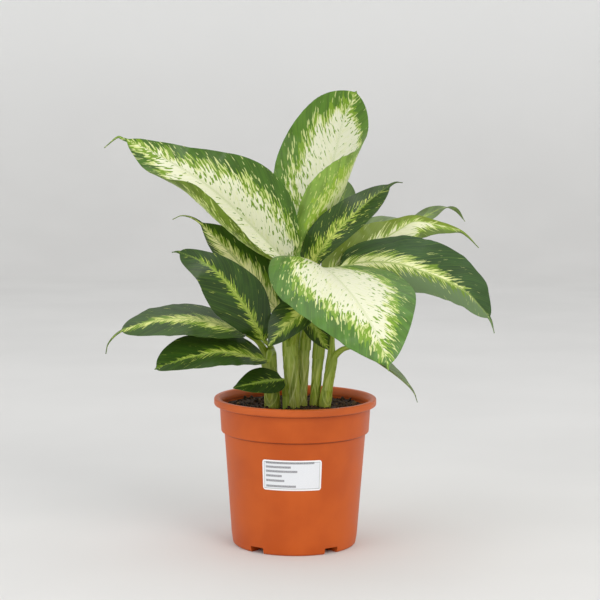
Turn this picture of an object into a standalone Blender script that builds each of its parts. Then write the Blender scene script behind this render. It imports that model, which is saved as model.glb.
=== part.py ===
"""Potted dieffenbachia: a terracotta-coloured plastic nursery pot with a blank label, soil,
five canes and seventeen leaves. Metres, +Z up, origin at the centre of the pot's underside,
-Y towards the front. The sizes below are millimetres, and mm() turns them to metres."""

import math

import bmesh
import bpy
import numpy as np
from mathutils import Matrix, Vector, noise

# Driving dimensions, in millimetres
GAP = 0.3                      # clearance kept between pieces that touch
TURN_STEPS = 48                # facets round the pot and the soil

POT_HEIGHT = 118.0
RIM_RADIUS = 65.0
RIM_DROP = 6.0                 # height of the rolled rim's outer band
RIM_EDGE = 0.8                 # bevel of its edges
RIM_MOUTH = 61.0               # radius of the mouth at the rim's top
MOUTH_FLARE = 3.5              # depth over which the mouth opens out to it
COLLAR_TOP_RADIUS = 60.4
COLLAR_FOOT = 91.0             # height of the step under the collar
COLLAR_FOOT_RADIUS = 59.2
STEP = 1.5                     # height of the step outside
INNER_STEP = 2.5               # and inside
BODY_TOP_RADIUS = 56.6
BODY_FOOT_RADIUS = 50.6
BODY_FOOT = 8.0                # height where the straight taper starts
BASE_RADIUS = 49.5
BASE_EDGE = 1.0                # bevel round the underside
WALL = 1.6
FLOOR = 6.5                    # top of the pot's floor
DRAINS = 5                     # notches round the foot, each with a hole above it
DRAIN_TURN = 36.0              # degrees from the front to the first notch
NOTCH_WIDTH = 12.0
NOTCH_HEIGHT = 5.0
NOTCH_INNER_RADIUS = 36.0
DRAIN_RADIUS = 3.5
DRAIN_RING = 41.0
ROUND_SIDES = 16               # sides of a round cutter

LABEL_WIDTH = 46.5
LABEL_HEIGHT = 24.0
LABEL_CORNER = 2.0
LABEL_THICKNESS = 0.3
LABEL_MIDDLE = 65.0            # height of its centre
LABEL_TURN = -2.2              # degrees from the front, towards -X
LABEL_COLUMNS = 10             # grid lines between its rounded corners
LABEL_ROWS = 5

SOIL_LEVEL = 110.0
SOIL_UNEVEN = 1.0
SOIL_SHOULDER = 2.5            # how far the soil's edge dips
SOIL_RINGS = (12.0, 24.0, 36.0, 47.0)

ROOTED = 22.0                  # how far each cane stands in the soil
CANE_COLLAR = 2.0              # height above the soil where a cane starts to lean
CANE_STATIONS = 10             # rings from there up
CANE_NODES = (3, 6)            # the rings that swell a little
CANE_SWELL = 0.25
CANE_SIDES = 12
CLEARANCE = 0.1                # what a faceted round needs on top of GAP

BLADE_THICKNESS = 0.9
PETIOLE_RADIUS = 1.8           # at the blade
STALK_RADIUS = 2.1             # at the petiole's foot, unless its leaf gives another
STALK_RISE = 4.0               # how far it first runs straight on from its cane
TAIL_RADIUS = 0.9              # half width of the drip tip where it starts
TAIL_END = 0.35                # share of it left at the tip
RIDGE_FADE = 1.2               # how fast the midrib under the blade thins to the tip
LOBE_REACH = 0.15              # share of the rib over which the basal lobes swing back

# Each cane: its foot (x, y), its top (x, y, z), and its radii from the soil to the top.
CANES = {
    "cane_left": dict(foot=(-18, -3), top=(-20.5, -4, 150), radii=[6.0, 5.8, 6.4, 7.2]),
    "cane_front": dict(foot=(-2, -5), top=(-4.2, -5.5, 159), radii=[6.0, 6.0, 6.4, 7.0]),
    "cane_back": dict(foot=(4.5, 4.5), top=(6.5, 6, 162), radii=[4.8, 5.0, 5.6, 6.2]),
    "cane_middle": dict(foot=(15.2, 5), top=(18.5, 6, 155), radii=[3.3, 4.2, 5.4]),
    "cane_right": dict(foot=(23.8, 1), top=(29, 1, 147), radii=[4.5, 4.7, 5.2]),
}

# Each leaf grows on a cane's top, at its seat's angle round the cane, and runs through the
# petiole's points and then the rib's to the tip. face holds the upward normal from base to tip.
# left and right hold each half's width, its fold up from the face and the further curl of its
# outer edge in degrees, all from base to tip. tail is the share of the rib that is the drip tip.
LEAVES = {
    "leaf_01": dict(cane="cane_front", seat=30, petiole=[(-3, -1, 192)],
        rib=[(-4, 2, 223), (-22, -8, 242), (-47, -20, 268), (-71, -28, 289), (-98, -32, 306),
             (-119, -32, 317), (-134, -30, 323), (-139, -28, 324), (-149, -26, 316)],
        face=[(-0.5, -0.8, 0.35), (-0.35, -0.85, 0.4), (-0.2, -0.8, 0.5)],
        left=dict(width=[29, 38, 44, 42, 26, 22], fold=[30, 10, 0, 0, 0],
                  curl=[116, 136, 152, 136, 25, 0]),
        right=dict(width=[38, 44, 40, 24, 15, 12], fold=[0], curl=[10, 0, -10, 0]),
        sharp=0.6, tail=0.12),
    "leaf_02": dict(cane="cane_back", seat=170, petiole=[(5, 9, 186)],
        rib=[(4, 11, 206), (7, 15, 226), (12, 20, 249), (24, 26, 284), (32, 26, 317),
             (38, 20, 341), (47, 10, 362)],
        face=[(-0.35, -0.9, 0.25), (-0.35, -0.9, 0.2), (-0.3, -0.95, -0.1)],
        left=dict(width=[36, 40, 48, 46, 40], fold=[5], curl=[0, -10]),
        right=dict(width=[54, 61, 66, 57, 44], fold=[0], curl=[155, 196, 182, 148, 88, 10]),
        belly=0.8, sharp=0.62, tail=0.01),
    "leaf_03": dict(cane="cane_back", seat=80, petiole=[(10, 22, 190), (12, 44, 211)],
        rib=[(15, 62, 226), (28, 73, 245), (37, 79, 268), (41, 82, 282), (40, 84, 293)],
        face=[(-0.2, -0.8, 0.5)],
        left=dict(width=[22], fold=[15]), right=dict(width=[24], fold=[15]), tail=0.05),
    "leaf_04": dict(cane="cane_back", seat=350, petiole=[(10, 4, 188)],
        rib=[(11, 2, 211), (15, -3, 229), (27, -11, 246), (42, -12, 262), (58, -6, 276),
             (76, 0, 289), (84, 0, 290)],
        face=[(-0.3, -0.9, 0.3)],
        left=dict(width=[15, 18, 15, 14], fold=[20]), right=dict(width=[7, 11, 17, 20], fold=[15]),
        sharp=0.7, tail=0.1),
    "leaf_05": dict(cane="cane_middle", seat=340, petiole=[(22, 9, 183)],
        rib=[(25, 15, 209), (32, 19, 222), (45, 22, 230), (65, 26, 240), (84, 31, 251), (96, 34, 257),
             (113, 36, 255), (130, 38, 251), (139, 38, 246), (149, 38, 236)],
        face=[(-0.3, -0.5, 0.8), (-0.2, -0.4, 0.9), (0.1, -0.5, 0.85), (0.2, -0.5, 0.85)],
        left=dict(width=[18, 21, 16, 8, 8, 10], fold=[60, 60, 40, 20, 10]),
        right=dict(width=[4, 8, 27, 25, 22], fold=[0], curl=[-10]), tail=0.12),
    "leaf_06": dict(cane="cane_middle", seat=100, petiole=[(20, 15, 183), (23, 24, 206)],
        rib=[(27, 30, 227), (52, 44, 245), (78, 56, 255), (103, 62, 259), (121, 64, 267),
             (132, 64, 266), (140, 64, 256)],
        face=[(0, -0.25, 0.95)],
        left=dict(width=[16], fold=[0], wave=3, waves=3),
        right=dict(width=[16], fold=[5], wave=3, waves=3, phase=0.5), tail=0.12),
    "leaf_07": dict(cane="cane_right", seat=120, petiole=[(30, 6, 180), (31, 9, 203)],
        rib=[(32, 9, 221), (55, 8, 226), (79, -3, 226), (98, -12, 221), (119, -17, 213),
             (135, -18, 204), (143, -17, 196), (153, -15, 184), (157, -14, 172)],
        face=[(0, -0.65, 0.75), (0.1, -0.7, 0.7), (0.4, -0.7, 0.6)],
        left=dict(width=[30, 32, 32, 27], fold=[5]),
        right=dict(width=[34, 28, 17, 16, 20], fold=[-50, -45, -50, -40], curl=[-10]),
        sharp=0.6, tail=0.09),
    "leaf_08": dict(cane="cane_middle", seat=220, petiole=[(17, 0, 183), (18, -5, 207)],
        rib=[(19, -10, 223), (28, -34, 220), (38, -64, 212), (48, -90, 201), (57, -108, 187),
             (65, -120, 169), (68, -124, 157)],
        face=[(-0.1, -0.1, 1), (-0.1, -0.5, 0.8), (-0.1, -0.75, 0.6)],
        left=dict(width=[52, 53, 52, 45], fold=[-2, -8, -8, -4], curl=[-10]),
        right=dict(width=[62, 54, 50, 44], fold=[56, 24, 17, 12], curl=[-60, -22, -10]),
        belly=0.4, sharp=0.7, tail=0.03, lobe=17),
    "leaf_09": dict(cane="cane_right", seat=320, stalk=1.7, petiole=[(37, -1, 156)],
        rib=[(44, 0, 160), (59, -6, 153), (75, -10, 142), (87, -12, 132), (94, -12, 124), (97, -12, 116)],
        face=[(0.4, -0.05, 0.9)],
        left=dict(width=[14], fold=[10]), right=dict(width=[14], fold=[10])),
    "leaf_10": dict(cane="cane_front", seat=210, petiole=[(-9, -7, 170)],
        rib=[(-10, -6, 182), (-24, -9, 200), (-36, -12, 216), (-49, -15, 231), (-63, -19, 246),
             (-77, -24, 260), (-88, -28, 264), (-96, -30, 261)],
        face=[(-0.4, -0.75, 0.5)],
        left=dict(width=[20], fold=[-50]), right=dict(width=[24], fold=[-25]), belly=0.8, tail=0.2),
    "leaf_11": dict(cane="cane_left", seat=65, petiole=[(-20.5, -9, 161)],
        rib=[(-24, -22, 164), (-31, -32, 179), (-41, -39, 197), (-51, -44, 211), (-62, -48, 223),
             (-74, -50, 231), (-89, -50, 237), (-95, -50, 237)],
        face=[(-0.4, -0.75, 0.5)],
        left=dict(width=[16, 20, 23, 20, 16, 15], fold=[10]),
        right=dict(width=[16, 21, 22, 16, 10, 8], fold=[-16, -4, 10]), sharp=0.4, tail=0.06),
    "leaf_12": dict(cane="cane_left", seat=185, petiole=[(-29, -8, 162)],
        rib=[(-37, -17, 171), (-45, -22, 175), (-58, -28, 179), (-81, -34, 184), (-101, -38, 184),
             (-114, -40, 182), (-128, -40, 178), (-138, -40, 173), (-145, -40, 165), (-147, -40, 157)],
        face=[(0, -0.5, 0.85)],
        left=dict(width=[22], fold=[0]), right=dict(width=[30, 29, 25, 26, 26], fold=[-10]),
        sharp=0.55, tail=0.18),
    "leaf_13": dict(cane="cane_left", seat=305, petiole=[(-20, -15, 155)],
        rib=[(-21, -26, 151), (-30, -30, 153), (-44, -36, 157), (-58, -42, 159), (-71, -48, 158),
             (-85, -52, 155), (-98, -54, 151), (-108, -54, 147)],
        face=[(0, -0.6, 0.8)],
        left=dict(width=[16, 20, 22, 18, 12], fold=[15]),
        right=dict(width=[33, 29, 25, 25, 26], fold=[-6, 0, 0]), belly=0.55, sharp=0.45, tail=0.02),
    "leaf_14": dict(cane="cane_front", start=(-8.3, -10.3, 117), stalk=1.6, petiole=[(-9, -14, 129)],
        rib=[(-9, -19, 135), (-17, -26, 135), (-26, -34, 135), (-35, -41, 134), (-43, -46, 133),
             (-48, -48, 132)],
        face=[(0, -0.7, 0.7)],
        left=dict(width=[13], fold=[0]), right=dict(width=[13], fold=[10]), tail=0.03),
    "leaf_15": dict(cane="cane_front", seat=300, stalk=1.7, petiole=[(2, -18, 175), (10, -29, 192)],
        rib=[(14, -31, 196), (3, -38, 188), (-7, -42, 180), (-15, -43, 171), (-21, -43, 164)],
        face=[(-0.3, -0.8, 0.5)],
        left=dict(width=[14], fold=[10]), right=dict(width=[18], fold=[10]), tail=0.02),
    "leaf_16": dict(cane="cane_back", seat=260, stalk=1.7, petiole=[(7, -5, 176)],
        rib=[(8, -7, 187), (15, -14, 177), (21, -18, 166), (26, -21, 159)],
        face=[(0.2, -0.8, 0.5)],
        left=dict(width=[11], fold=[10]), right=dict(width=[11], fold=[10]), tail=0.02),
    "leaf_17": dict(cane="cane_front", seat=120, petiole=[(-7, 3, 182)],
        rib=[(-7, 12, 207), (-25, 22, 224), (-43, 30, 244), (-63, 36, 262)],
        face=[(-0.3, -0.8, 0.5)],
        left=dict(width=[18], fold=[10]), right=dict(width=[18], fold=[10]), tail=0.05),
}

# Where the blade is sampled: along the rib, and across each half from the rib to the margin
BLADE_STATIONS = (0.0, 0.03, 0.09, 0.18, 0.29, 0.4, 0.51, 0.62, 0.72, 0.8, 0.86, 0.91, 0.96, 1.0)
PETIOLE_STATIONS = 5
ACROSS = (0.12, 0.55, 1.0)
ACROSS_BROAD = (0.1, 0.4, 0.7, 1.0)
BROAD = 25.0                   # half width from which a blade takes the finer division

TERRACOTTA = (0.50, 0.105, 0.035)
PAPER = (0.80, 0.80, 0.80)
PEAT = (0.035, 0.02, 0.012)
CANE_GREEN = (0.19, 0.25, 0.07)
LEAF_GREEN = (0.06, 0.17, 0.025)


def mm(value):
    return value / 1000.0


def empty_scene():
    for obj in list(bpy.data.objects):
        bpy.data.objects.remove(obj)


def new_collection(name):
    collection = bpy.data.collections.new(name)
    bpy.context.scene.collection.children.link(collection)
    return collection


def material(name, colour, roughness):
    made = bpy.data.materials.new(name)
    made.use_nodes = True
    shader = made.node_tree.nodes["Principled BSDF"]
    shader.inputs["Base Color"].default_value = (*colour, 1.0)
    shader.inputs["Roughness"].default_value = roughness
    shader.inputs["Metallic"].default_value = 0.0
    return made


def add_object(name, mesh, collection, finish=None):
    obj = bpy.data.objects.new(name, mesh)
    if finish:
        mesh.materials.append(finish)
    collection.objects.link(obj)
    return obj


def add_cutter(name, shapes, collection):
    mesh = bpy.data.meshes.new(name)
    shapes.to_mesh(mesh)
    shapes.free()
    cutter = add_object(name, mesh, collection)
    cutter.hide_render = True
    cutter.display_type = "WIRE"
    return cutter


def cut(obj, cutter):
    boolean = obj.modifiers.new(cutter.name, "BOOLEAN")
    boolean.operation = "DIFFERENCE"
    boolean.object = cutter


def turned(name, profile, collection, finish):
    """A solid of revolution; profile runs up the inside and down the outer side, in millimetres"""
    mesh = bpy.data.meshes.new(name)
    points = [(mm(radius), 0.0, mm(height)) for radius, height in profile]
    mesh.from_pydata(points, [(k, k + 1) for k in range(len(points) - 1)], [])
    obj = add_object(name, mesh, collection, finish)
    screw = obj.modifiers.new("turn", "SCREW")
    screw.steps = TURN_STEPS
    screw.render_steps = TURN_STEPS
    screw.use_merge_vertices = True
    screw.merge_threshold = 0.0001
    return obj


# Pot

def body_radius(height):
    """Outer radius of the tapered body below the collar"""
    return np.interp(height, (0.0, BODY_FOOT, COLLAR_FOOT - STEP),
                     (BASE_RADIUS, BODY_FOOT_RADIUS, BODY_TOP_RADIUS))


def inner_wall():
    """(radius, height) up the inside, from the floor's edge to the foot of the mouth's flare"""
    return [(body_radius(FLOOR) - WALL, FLOOR),
            (BODY_TOP_RADIUS - WALL, COLLAR_FOOT - INNER_STEP),
            (COLLAR_FOOT_RADIUS - WALL, COLLAR_FOOT),
            (COLLAR_TOP_RADIUS - WALL, POT_HEIGHT - MOUTH_FLARE)]


def pot_profile():
    band = POT_HEIGHT - RIM_DROP
    inside = [(0.0, FLOOR), *inner_wall(), (RIM_MOUTH, POT_HEIGHT)]
    rim = [(RIM_RADIUS - RIM_EDGE, POT_HEIGHT),
           (RIM_RADIUS, POT_HEIGHT - RIM_EDGE),
           (RIM_RADIUS, band + RIM_EDGE),
           (RIM_RADIUS - RIM_EDGE, band),
           (COLLAR_TOP_RADIUS, band - RIM_EDGE / 2)]
    outside = [(COLLAR_FOOT_RADIUS, COLLAR_FOOT),
               (BODY_TOP_RADIUS, COLLAR_FOOT - STEP),
               (BODY_FOOT_RADIUS, BODY_FOOT),
               (BASE_RADIUS, BASE_EDGE),
               (BASE_RADIUS - BASE_EDGE, 0.0),
               (0.0, 0.0)]
    return inside + rim + outside


def drain_angles():
    """Angles about +Z, counted from the front (-Y)"""
    return [math.radians(DRAIN_TURN + k * 360.0 / DRAINS - 90.0) for k in range(DRAINS)]


def notch_cutters():
    shapes = bmesh.new()
    length = RIM_RADIUS - NOTCH_INNER_RADIUS
    for angle in drain_angles():
        place = (Matrix.Rotation(angle, 4, "Z")
                 @ Matrix.Translation((mm(NOTCH_INNER_RADIUS + length / 2), 0.0, 0.0))
                 @ Matrix.Diagonal((mm(length), mm(NOTCH_WIDTH), mm(2 * NOTCH_HEIGHT), 1.0)))
        bmesh.ops.create_cube(shapes, size=1.0, matrix=place)
    return shapes


def add_round_cutter(shapes, x, y, bottom, top, radius):
    middle = Matrix.Translation((mm(x), mm(y), mm((bottom + top) / 2)))
    bmesh.ops.create_cone(shapes, cap_ends=True, segments=ROUND_SIDES, radius1=mm(radius),
                          radius2=mm(radius), depth=mm(top - bottom), matrix=middle)


def drain_cutters():
    shapes = bmesh.new()
    for angle in drain_angles():
        x, y = DRAIN_RING * math.cos(angle), DRAIN_RING * math.sin(angle)
        add_round_cutter(shapes, x, y, NOTCH_HEIGHT / 2, FLOOR + 1.0, DRAIN_RADIUS)
    return shapes


def build_pot(parts, cutters):
    finish = material("terracotta_plastic", TERRACOTTA, 0.45)
    pot = turned("pot", pot_profile(), parts, finish)
    cut(pot, add_cutter("drain_notches", notch_cutters(), cutters))
    cut(pot, add_cutter("drain_holes", drain_cutters(), cutters))


# Label

def label_columns():
    """(distance from the label's middle, half height there), which rounds its corners"""
    corner = [(LABEL_CORNER * (1 - math.cos(a)), LABEL_CORNER * (1 - math.sin(a)))
              for a in (0.0, math.pi / 6, math.pi / 3, math.pi / 2)]
    straight = LABEL_WIDTH / 2 - LABEL_CORNER
    left = [(-LABEL_WIDTH / 2 + inset, LABEL_HEIGHT / 2 - drop) for inset, drop in corner]
    middle = [(x, LABEL_HEIGHT / 2) for x in np.linspace(-straight, straight, LABEL_COLUMNS + 2)[1:-1]]
    right = [(-x, half) for x, half in reversed(left)]
    return left + middle + right


def build_label(parts):
    """Thin paper wrapped on the tapered body"""
    mesh = bpy.data.meshes.new("pot_label")
    points, faces = [], []
    for offset, half in label_columns():
        angle = math.radians(LABEL_TURN - 90.0) + offset / body_radius(LABEL_MIDDLE)
        for row in np.linspace(-1.0, 1.0, LABEL_ROWS):
            height = LABEL_MIDDLE + row * half
            radius = mm(body_radius(height) + GAP)
            points.append((radius * math.cos(angle), radius * math.sin(angle), mm(height)))
    for column in range(len(points) // LABEL_ROWS - 1):
        for row in range(LABEL_ROWS - 1):
            first = column * LABEL_ROWS + row
            faces.append((first, first + LABEL_ROWS, first + LABEL_ROWS + 1, first + 1))
    mesh.from_pydata(points, [], faces)
    label = add_object("pot_label", mesh, parts, material("label_paper", PAPER, 0.6))
    paper = label.modifiers.new("paper", "SOLIDIFY")
    paper.thickness = mm(LABEL_THICKNESS)
    paper.offset = 1.0


# Soil

def soil_height(x, y):
    """The crumbly surface: level, with low smooth lumps"""
    broad = noise.noise(Vector((x / 14.0, y / 14.0, 3.0)))
    small = noise.noise(Vector((x / 6.0, y / 6.0, 8.0)))
    return SOIL_LEVEL + SOIL_UNEVEN * (broad + 0.6 * small)


def soil_rings():
    """(radius, height) from the middle of the top out to the wall and down it; a height of None
    takes the crumbly surface"""
    radii, heights = zip(*inner_wall())
    shoulder = SOIL_LEVEL - SOIL_SHOULDER
    edge = np.interp(shoulder, heights, radii) - GAP
    top = [(r, None) for r in (*SOIL_RINGS, edge - 1.0)]
    side = [(edge, shoulder)] + [(r - GAP, z + GAP / 2) for r, z in reversed(inner_wall()[1:3])]
    return top + side + [(radii[0] - GAP, FLOOR + GAP)]


def stem_hole_cutters():
    shapes = bmesh.new()
    for cane in CANES.values():
        add_round_cutter(shapes, *cane["foot"], SOIL_LEVEL - ROOTED - GAP, SOIL_LEVEL + 10.0,
                         cane["radii"][0] + GAP + CLEARANCE)
    return shapes


def build_soil(parts, cutters):
    shape = bmesh.new()
    top = shape.verts.new((0, 0, mm(soil_height(0, 0))))
    rings = []
    for radius, height in soil_rings():
        ring = []
        for k in range(TURN_STEPS):
            angle = 2 * math.pi * k / TURN_STEPS
            x, y = radius * math.cos(angle), radius * math.sin(angle)
            z = soil_height(x, y) if height is None else height
            ring.append(shape.verts.new((mm(x), mm(y), mm(z))))
        rings.append(ring)
    bottom = shape.verts.new((0, 0, mm(FLOOR + GAP)))
    for k in range(TURN_STEPS):
        after = (k + 1) % TURN_STEPS
        shape.faces.new((top, rings[0][k], rings[0][after]))
        for inner, outer in zip(rings, rings[1:]):
            shape.faces.new((inner[k], outer[k], outer[after], inner[after]))
        shape.faces.new((bottom, rings[-1][after], rings[-1][k]))
    mesh = bpy.data.meshes.new("soil")
    shape.to_mesh(mesh)
    shape.free()
    soil = add_object("soil", mesh, parts, material("peat", PEAT, 0.95))
    cut(soil, add_cutter("stem_holes", stem_hole_cutters(), cutters))


# Canes

def cane_line(cane):
    """Where the cane starts to lean, just above the soil, and its top"""
    return np.array([*cane["foot"], SOIL_LEVEL + CANE_COLLAR]), np.array(cane["top"], float)


def build_cane(name, cane, parts):
    """A tapering stem, upright in the soil and leaning above it, with low rings at its nodes"""
    foot = np.array([*cane["foot"], SOIL_LEVEL - ROOTED])
    collar, top = cane_line(cane)
    shares = np.linspace(0, 1, CANE_STATIONS)
    upper = [collar + (top - collar) * share for share in shares]
    radii = along(cane["radii"], shares)
    swell = [CANE_SWELL if k in CANE_NODES else 0.0 for k in range(CANE_STATIONS)]
    radii = [radii[0], *(radii + swell)]
    curve = bpy.data.curves.new(name, "CURVE")
    curve.dimensions = "3D"
    curve.bevel_depth = mm(1.0)
    curve.bevel_resolution = CANE_SIDES // 2 - 2
    curve.use_fill_caps = True
    spline = curve.splines.new("POLY")
    spline.points.add(len(upper))
    for k, place in enumerate([foot, *upper]):
        spline.points[k].co = (*(mm(v) for v in place), 1.0)
        spline.points[k].radius = radii[k]
    finish = material(name + "_skin", CANE_GREEN, 0.5)
    guide = add_object(name + "_curve", curve, parts, finish)
    graph = bpy.context.evaluated_depsgraph_get()
    mesh = bpy.data.meshes.new_from_object(guide.evaluated_get(graph))
    bpy.data.objects.remove(guide)
    shape = bmesh.new()
    shape.from_mesh(mesh)
    bmesh.ops.remove_doubles(shape, verts=shape.verts, dist=mm(0.01))
    bmesh.ops.recalc_face_normals(shape, faces=shape.faces)
    shape.to_mesh(mesh)
    shape.free()
    mesh.name = name
    mesh.shade_smooth()
    obj = bpy.data.objects.new(name, mesh)
    parts.objects.link(obj)


# Leaves

def unit(vectors):
    return vectors / np.linalg.norm(vectors, axis=-1, keepdims=True)


def bend(a, b, c, d, u):
    """Catmull-Rom between b and c"""
    return 0.5 * (2 * b + (c - a) * u + (2 * a - 5 * b + 4 * c - d) * u**2 + (3 * b - a - 3 * c + d) * u**3)


def smooth_curve(points, shares):
    """The curve through the points, read at the given shares of its length"""
    points = np.array(points, float)
    ends = [2 * points[0] - points[1], *points, 2 * points[-1] - points[-2]]
    fine = [bend(*four, u) for four in zip(ends, ends[1:], ends[2:], ends[3:])
            for u in np.linspace(0, 1, 12, endpoint=False)]
    fine = np.array(fine + [points[-1]])
    length = np.concatenate([[0], np.cumsum(np.linalg.norm(np.diff(fine, axis=0), axis=1))])
    return np.stack([np.interp(shares, length / length[-1], fine[:, k]) for k in range(3)], 1)


def along(values, shares):
    """Values spread evenly from base to tip, read smoothly at the given shares"""
    values = np.atleast_1d(np.array(values, float))
    if len(values) == 1:
        return np.full(len(shares), values[0])
    place = shares * (len(values) - 1)
    k = np.minimum(place.astype(int), len(values) - 2)
    ends = np.concatenate([[2 * values[0] - values[1]], values, [2 * values[-1] - values[-2]]])
    return bend(ends[k], ends[k + 1], ends[k + 2], ends[k + 3], place - k)


def directions(points, shares):
    step = 0.001
    ahead = smooth_curve(points, np.clip(shares + step, 0, 1))
    behind = smooth_curve(points, np.clip(shares - step, 0, 1))
    return unit(ahead - behind)


def blade_profile(shares, tail, belly, sharp):
    """Half width along the blade, 1 at its widest"""
    share = np.clip(shares / (1 - tail), 0, 1)
    widest = belly / (belly + sharp)
    return share**belly * (1 - share)**sharp / (widest**belly * (1 - widest)**sharp)


def half_blade(leaf, side, key, shares, across):
    """Where one half lies at each station: sideways, up, back, and its slope, at each share across"""
    half = leaf[key]
    tail = leaf.get("tail", 0.1)
    outline = blade_profile(shares, tail, leaf.get("belly", 0.6), leaf.get("sharp", 0.9))
    slim = TAIL_RADIUS * np.clip((1 - shares) / tail, TAIL_END, 1)
    width = np.sqrt((along(half["width"], shares) * outline)**2 + slim**2)
    fold = np.radians(along(half.get("fold", 0), shares))
    curl = np.radians(along(half.get("curl", 0), shares))
    curl = np.where(np.abs(curl) < 0.001, 0.001, curl)
    lift = along(half.get("wave", 0), shares) * np.sqrt(4 * shares * (1 - shares))
    lift = lift * np.sin(2 * math.pi * (half.get("waves", 3) * shares + half.get("phase", 0)))
    lobe = leaf.get("lobe", 0) * np.exp(-shares / LOBE_REACH)
    rows = []
    for s in across:
        slope = fold + curl * s
        sideways = width * (np.sin(slope) - np.sin(fold)) / curl
        up = width * (np.cos(fold) - np.cos(slope)) / curl + lift * s**2
        rows.append((side * sideways, up, lobe * s**2, side * slope))
    return rows


def shares_across(leaf):
    broad = max(leaf["left"]["width"] + leaf["right"]["width"]) >= BROAD
    return ACROSS_BROAD if broad else ACROSS


def leaf_rings(leaf):
    """Closed rings of points, in millimetres, from the petiole's foot to the leaf's tip"""
    shares = np.array(BLADE_STATIONS)
    across = shares_across(leaf)
    rib = smooth_curve(leaf["rib"], shares)
    ahead = directions(leaf["rib"], shares)
    face = np.stack([along([normal[k] for normal in leaf["face"]], shares) for k in range(3)], 1)
    up = unit(face - (face * ahead).sum(1)[:, None] * ahead)
    right = np.cross(ahead, up)
    left_half = half_blade(leaf, -1, "left", shares, across[::-1])
    middle = [(0 * shares, 0 * shares, 0 * shares, 0 * shares)]
    right_half = half_blade(leaf, 1, "right", shares, across)
    ridge = (2 * PETIOLE_RADIUS - BLADE_THICKNESS) * (1 - shares)**RIDGE_FADE
    top, bottom = [], []
    for k, (sideways, lift, back, slope) in enumerate(left_half + middle + right_half):
        place = rib + right * sideways[:, None] + up * lift[:, None] - ahead * back[:, None]
        normal = up * np.cos(slope)[:, None] - right * np.sin(slope)[:, None]
        below = BLADE_THICKNESS / 2 + (ridge if k == len(left_half) else 0 * shares)
        top.append(place + normal * BLADE_THICKNESS / 2)
        bottom.append(place - normal * below[:, None])
    blade = np.stack(top + bottom[::-1], 1)
    return np.concatenate([petiole_rings(leaf, ahead[0], up[0], len(across)), blade[1:]])


def petiole_rings(leaf, end_direction, end_up, half):
    """Round rings up to the blade's base, whose upper side ends flush with the blade's face"""
    start, start_direction = leaf_start(leaf)
    points = [start, start + STALK_RISE * start_direction, *leaf["petiole"], leaf["rib"][0]]
    shares = np.linspace(0, 1, PETIOLE_STATIONS + 1)
    places = smooth_curve(points, shares)
    ahead = directions(points, shares)
    ahead[0], ahead[-1] = start_direction, end_direction
    turns = np.arange(-half, half + 1) / (half + 0.5) * math.pi / 2
    stalk = stalk_radius(leaf)
    rings, up = [], end_up
    for place, forward, share in reversed(list(zip(places, ahead, shares))):
        up = unit(up - up.dot(forward) * forward)
        right = np.cross(forward, up)
        radius = stalk + (PETIOLE_RADIUS - stalk) * share
        centre = place - up * (PETIOLE_RADIUS - BLADE_THICKNESS / 2) * max(0, 3 * share - 2)
        top = [centre + radius * (right * math.sin(a) + up * math.cos(a)) for a in turns]
        bottom = [centre + radius * (right * math.sin(a) - up * math.cos(a)) for a in turns]
        rings.append(top + bottom[::-1])
    return np.array(rings[::-1])


def stalk_radius(leaf):
    return leaf.get("stalk", STALK_RADIUS)


def leaf_start(leaf):
    """The petiole's foot and its direction there: on its cane's top, square to the cane"""
    cane = CANES[leaf["cane"]]
    collar, top = cane_line(cane)
    axis = unit(top - collar)
    if "start" in leaf:
        return np.array(leaf["start"]), axis
    angle = math.radians(leaf["seat"])
    outward = np.array([math.cos(angle), math.sin(angle), 0.0])
    outward = unit(outward - outward.dot(axis) * axis)
    spread = cane["radii"][-1] - stalk_radius(leaf) - CLEARANCE
    return top + outward * spread + axis * GAP, axis


def build_leaf(name, leaf, parts):
    """Petiole and blade as one loft; both faces of the blade are split into the same triangles"""
    rings = leaf_rings(leaf)
    count = rings.shape[1]
    per_side = count // 2
    shape = bmesh.new()
    verts = [[shape.verts.new([mm(v) for v in point]) for point in ring] for ring in rings]
    for near, far in zip(verts, verts[1:]):
        for k in range(count):
            after = (k + 1) % count
            a, b, c, d = near[k], near[after], far[after], far[k]
            if k < per_side - 1:
                shape.faces.new((a, b, c))
                shape.faces.new((a, c, d))
            else:
                shape.faces.new((a, b, d))
                shape.faces.new((b, c, d))
    for ring in (verts[0], verts[-1]):
        for k in range(per_side - 1):
            corners = (ring[k], ring[k + 1], ring[count - 2 - k], ring[count - 1 - k])
            shape.faces.new(corners)
    bmesh.ops.recalc_face_normals(shape, faces=shape.faces)
    mesh = bpy.data.meshes.new(name)
    shape.to_mesh(mesh)
    shape.free()
    mesh.shade_smooth()
    mesh.set_sharp_from_angle(angle=math.radians(50))
    add_object(name, mesh, parts, material(name + "_green", LEAF_GREEN, 0.35))


def main():
    empty_scene()
    parts = new_collection("potted_dieffenbachia")
    cutters = new_collection("cutters")
    build_pot(parts, cutters)
    build_label(parts)
    build_soil(parts, cutters)
    for name, cane in CANES.items():
        build_cane(name, cane, parts)
    for name, leaf in LEAVES.items():
        build_leaf(name, leaf, parts)


main()
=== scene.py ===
"""Every visible piece is built here at a finer step than the CAD solid that it stands for, and
keeps its place and form: the turned pot, its blank label, crumbly peat, five sheathed canes and
seventeen leaves with painted variegation. Lengths in the tables are millimetres."""

import math

import bmesh
import bpy
import numpy as np
from mathutils import Euler, Matrix, Vector, noise


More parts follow.
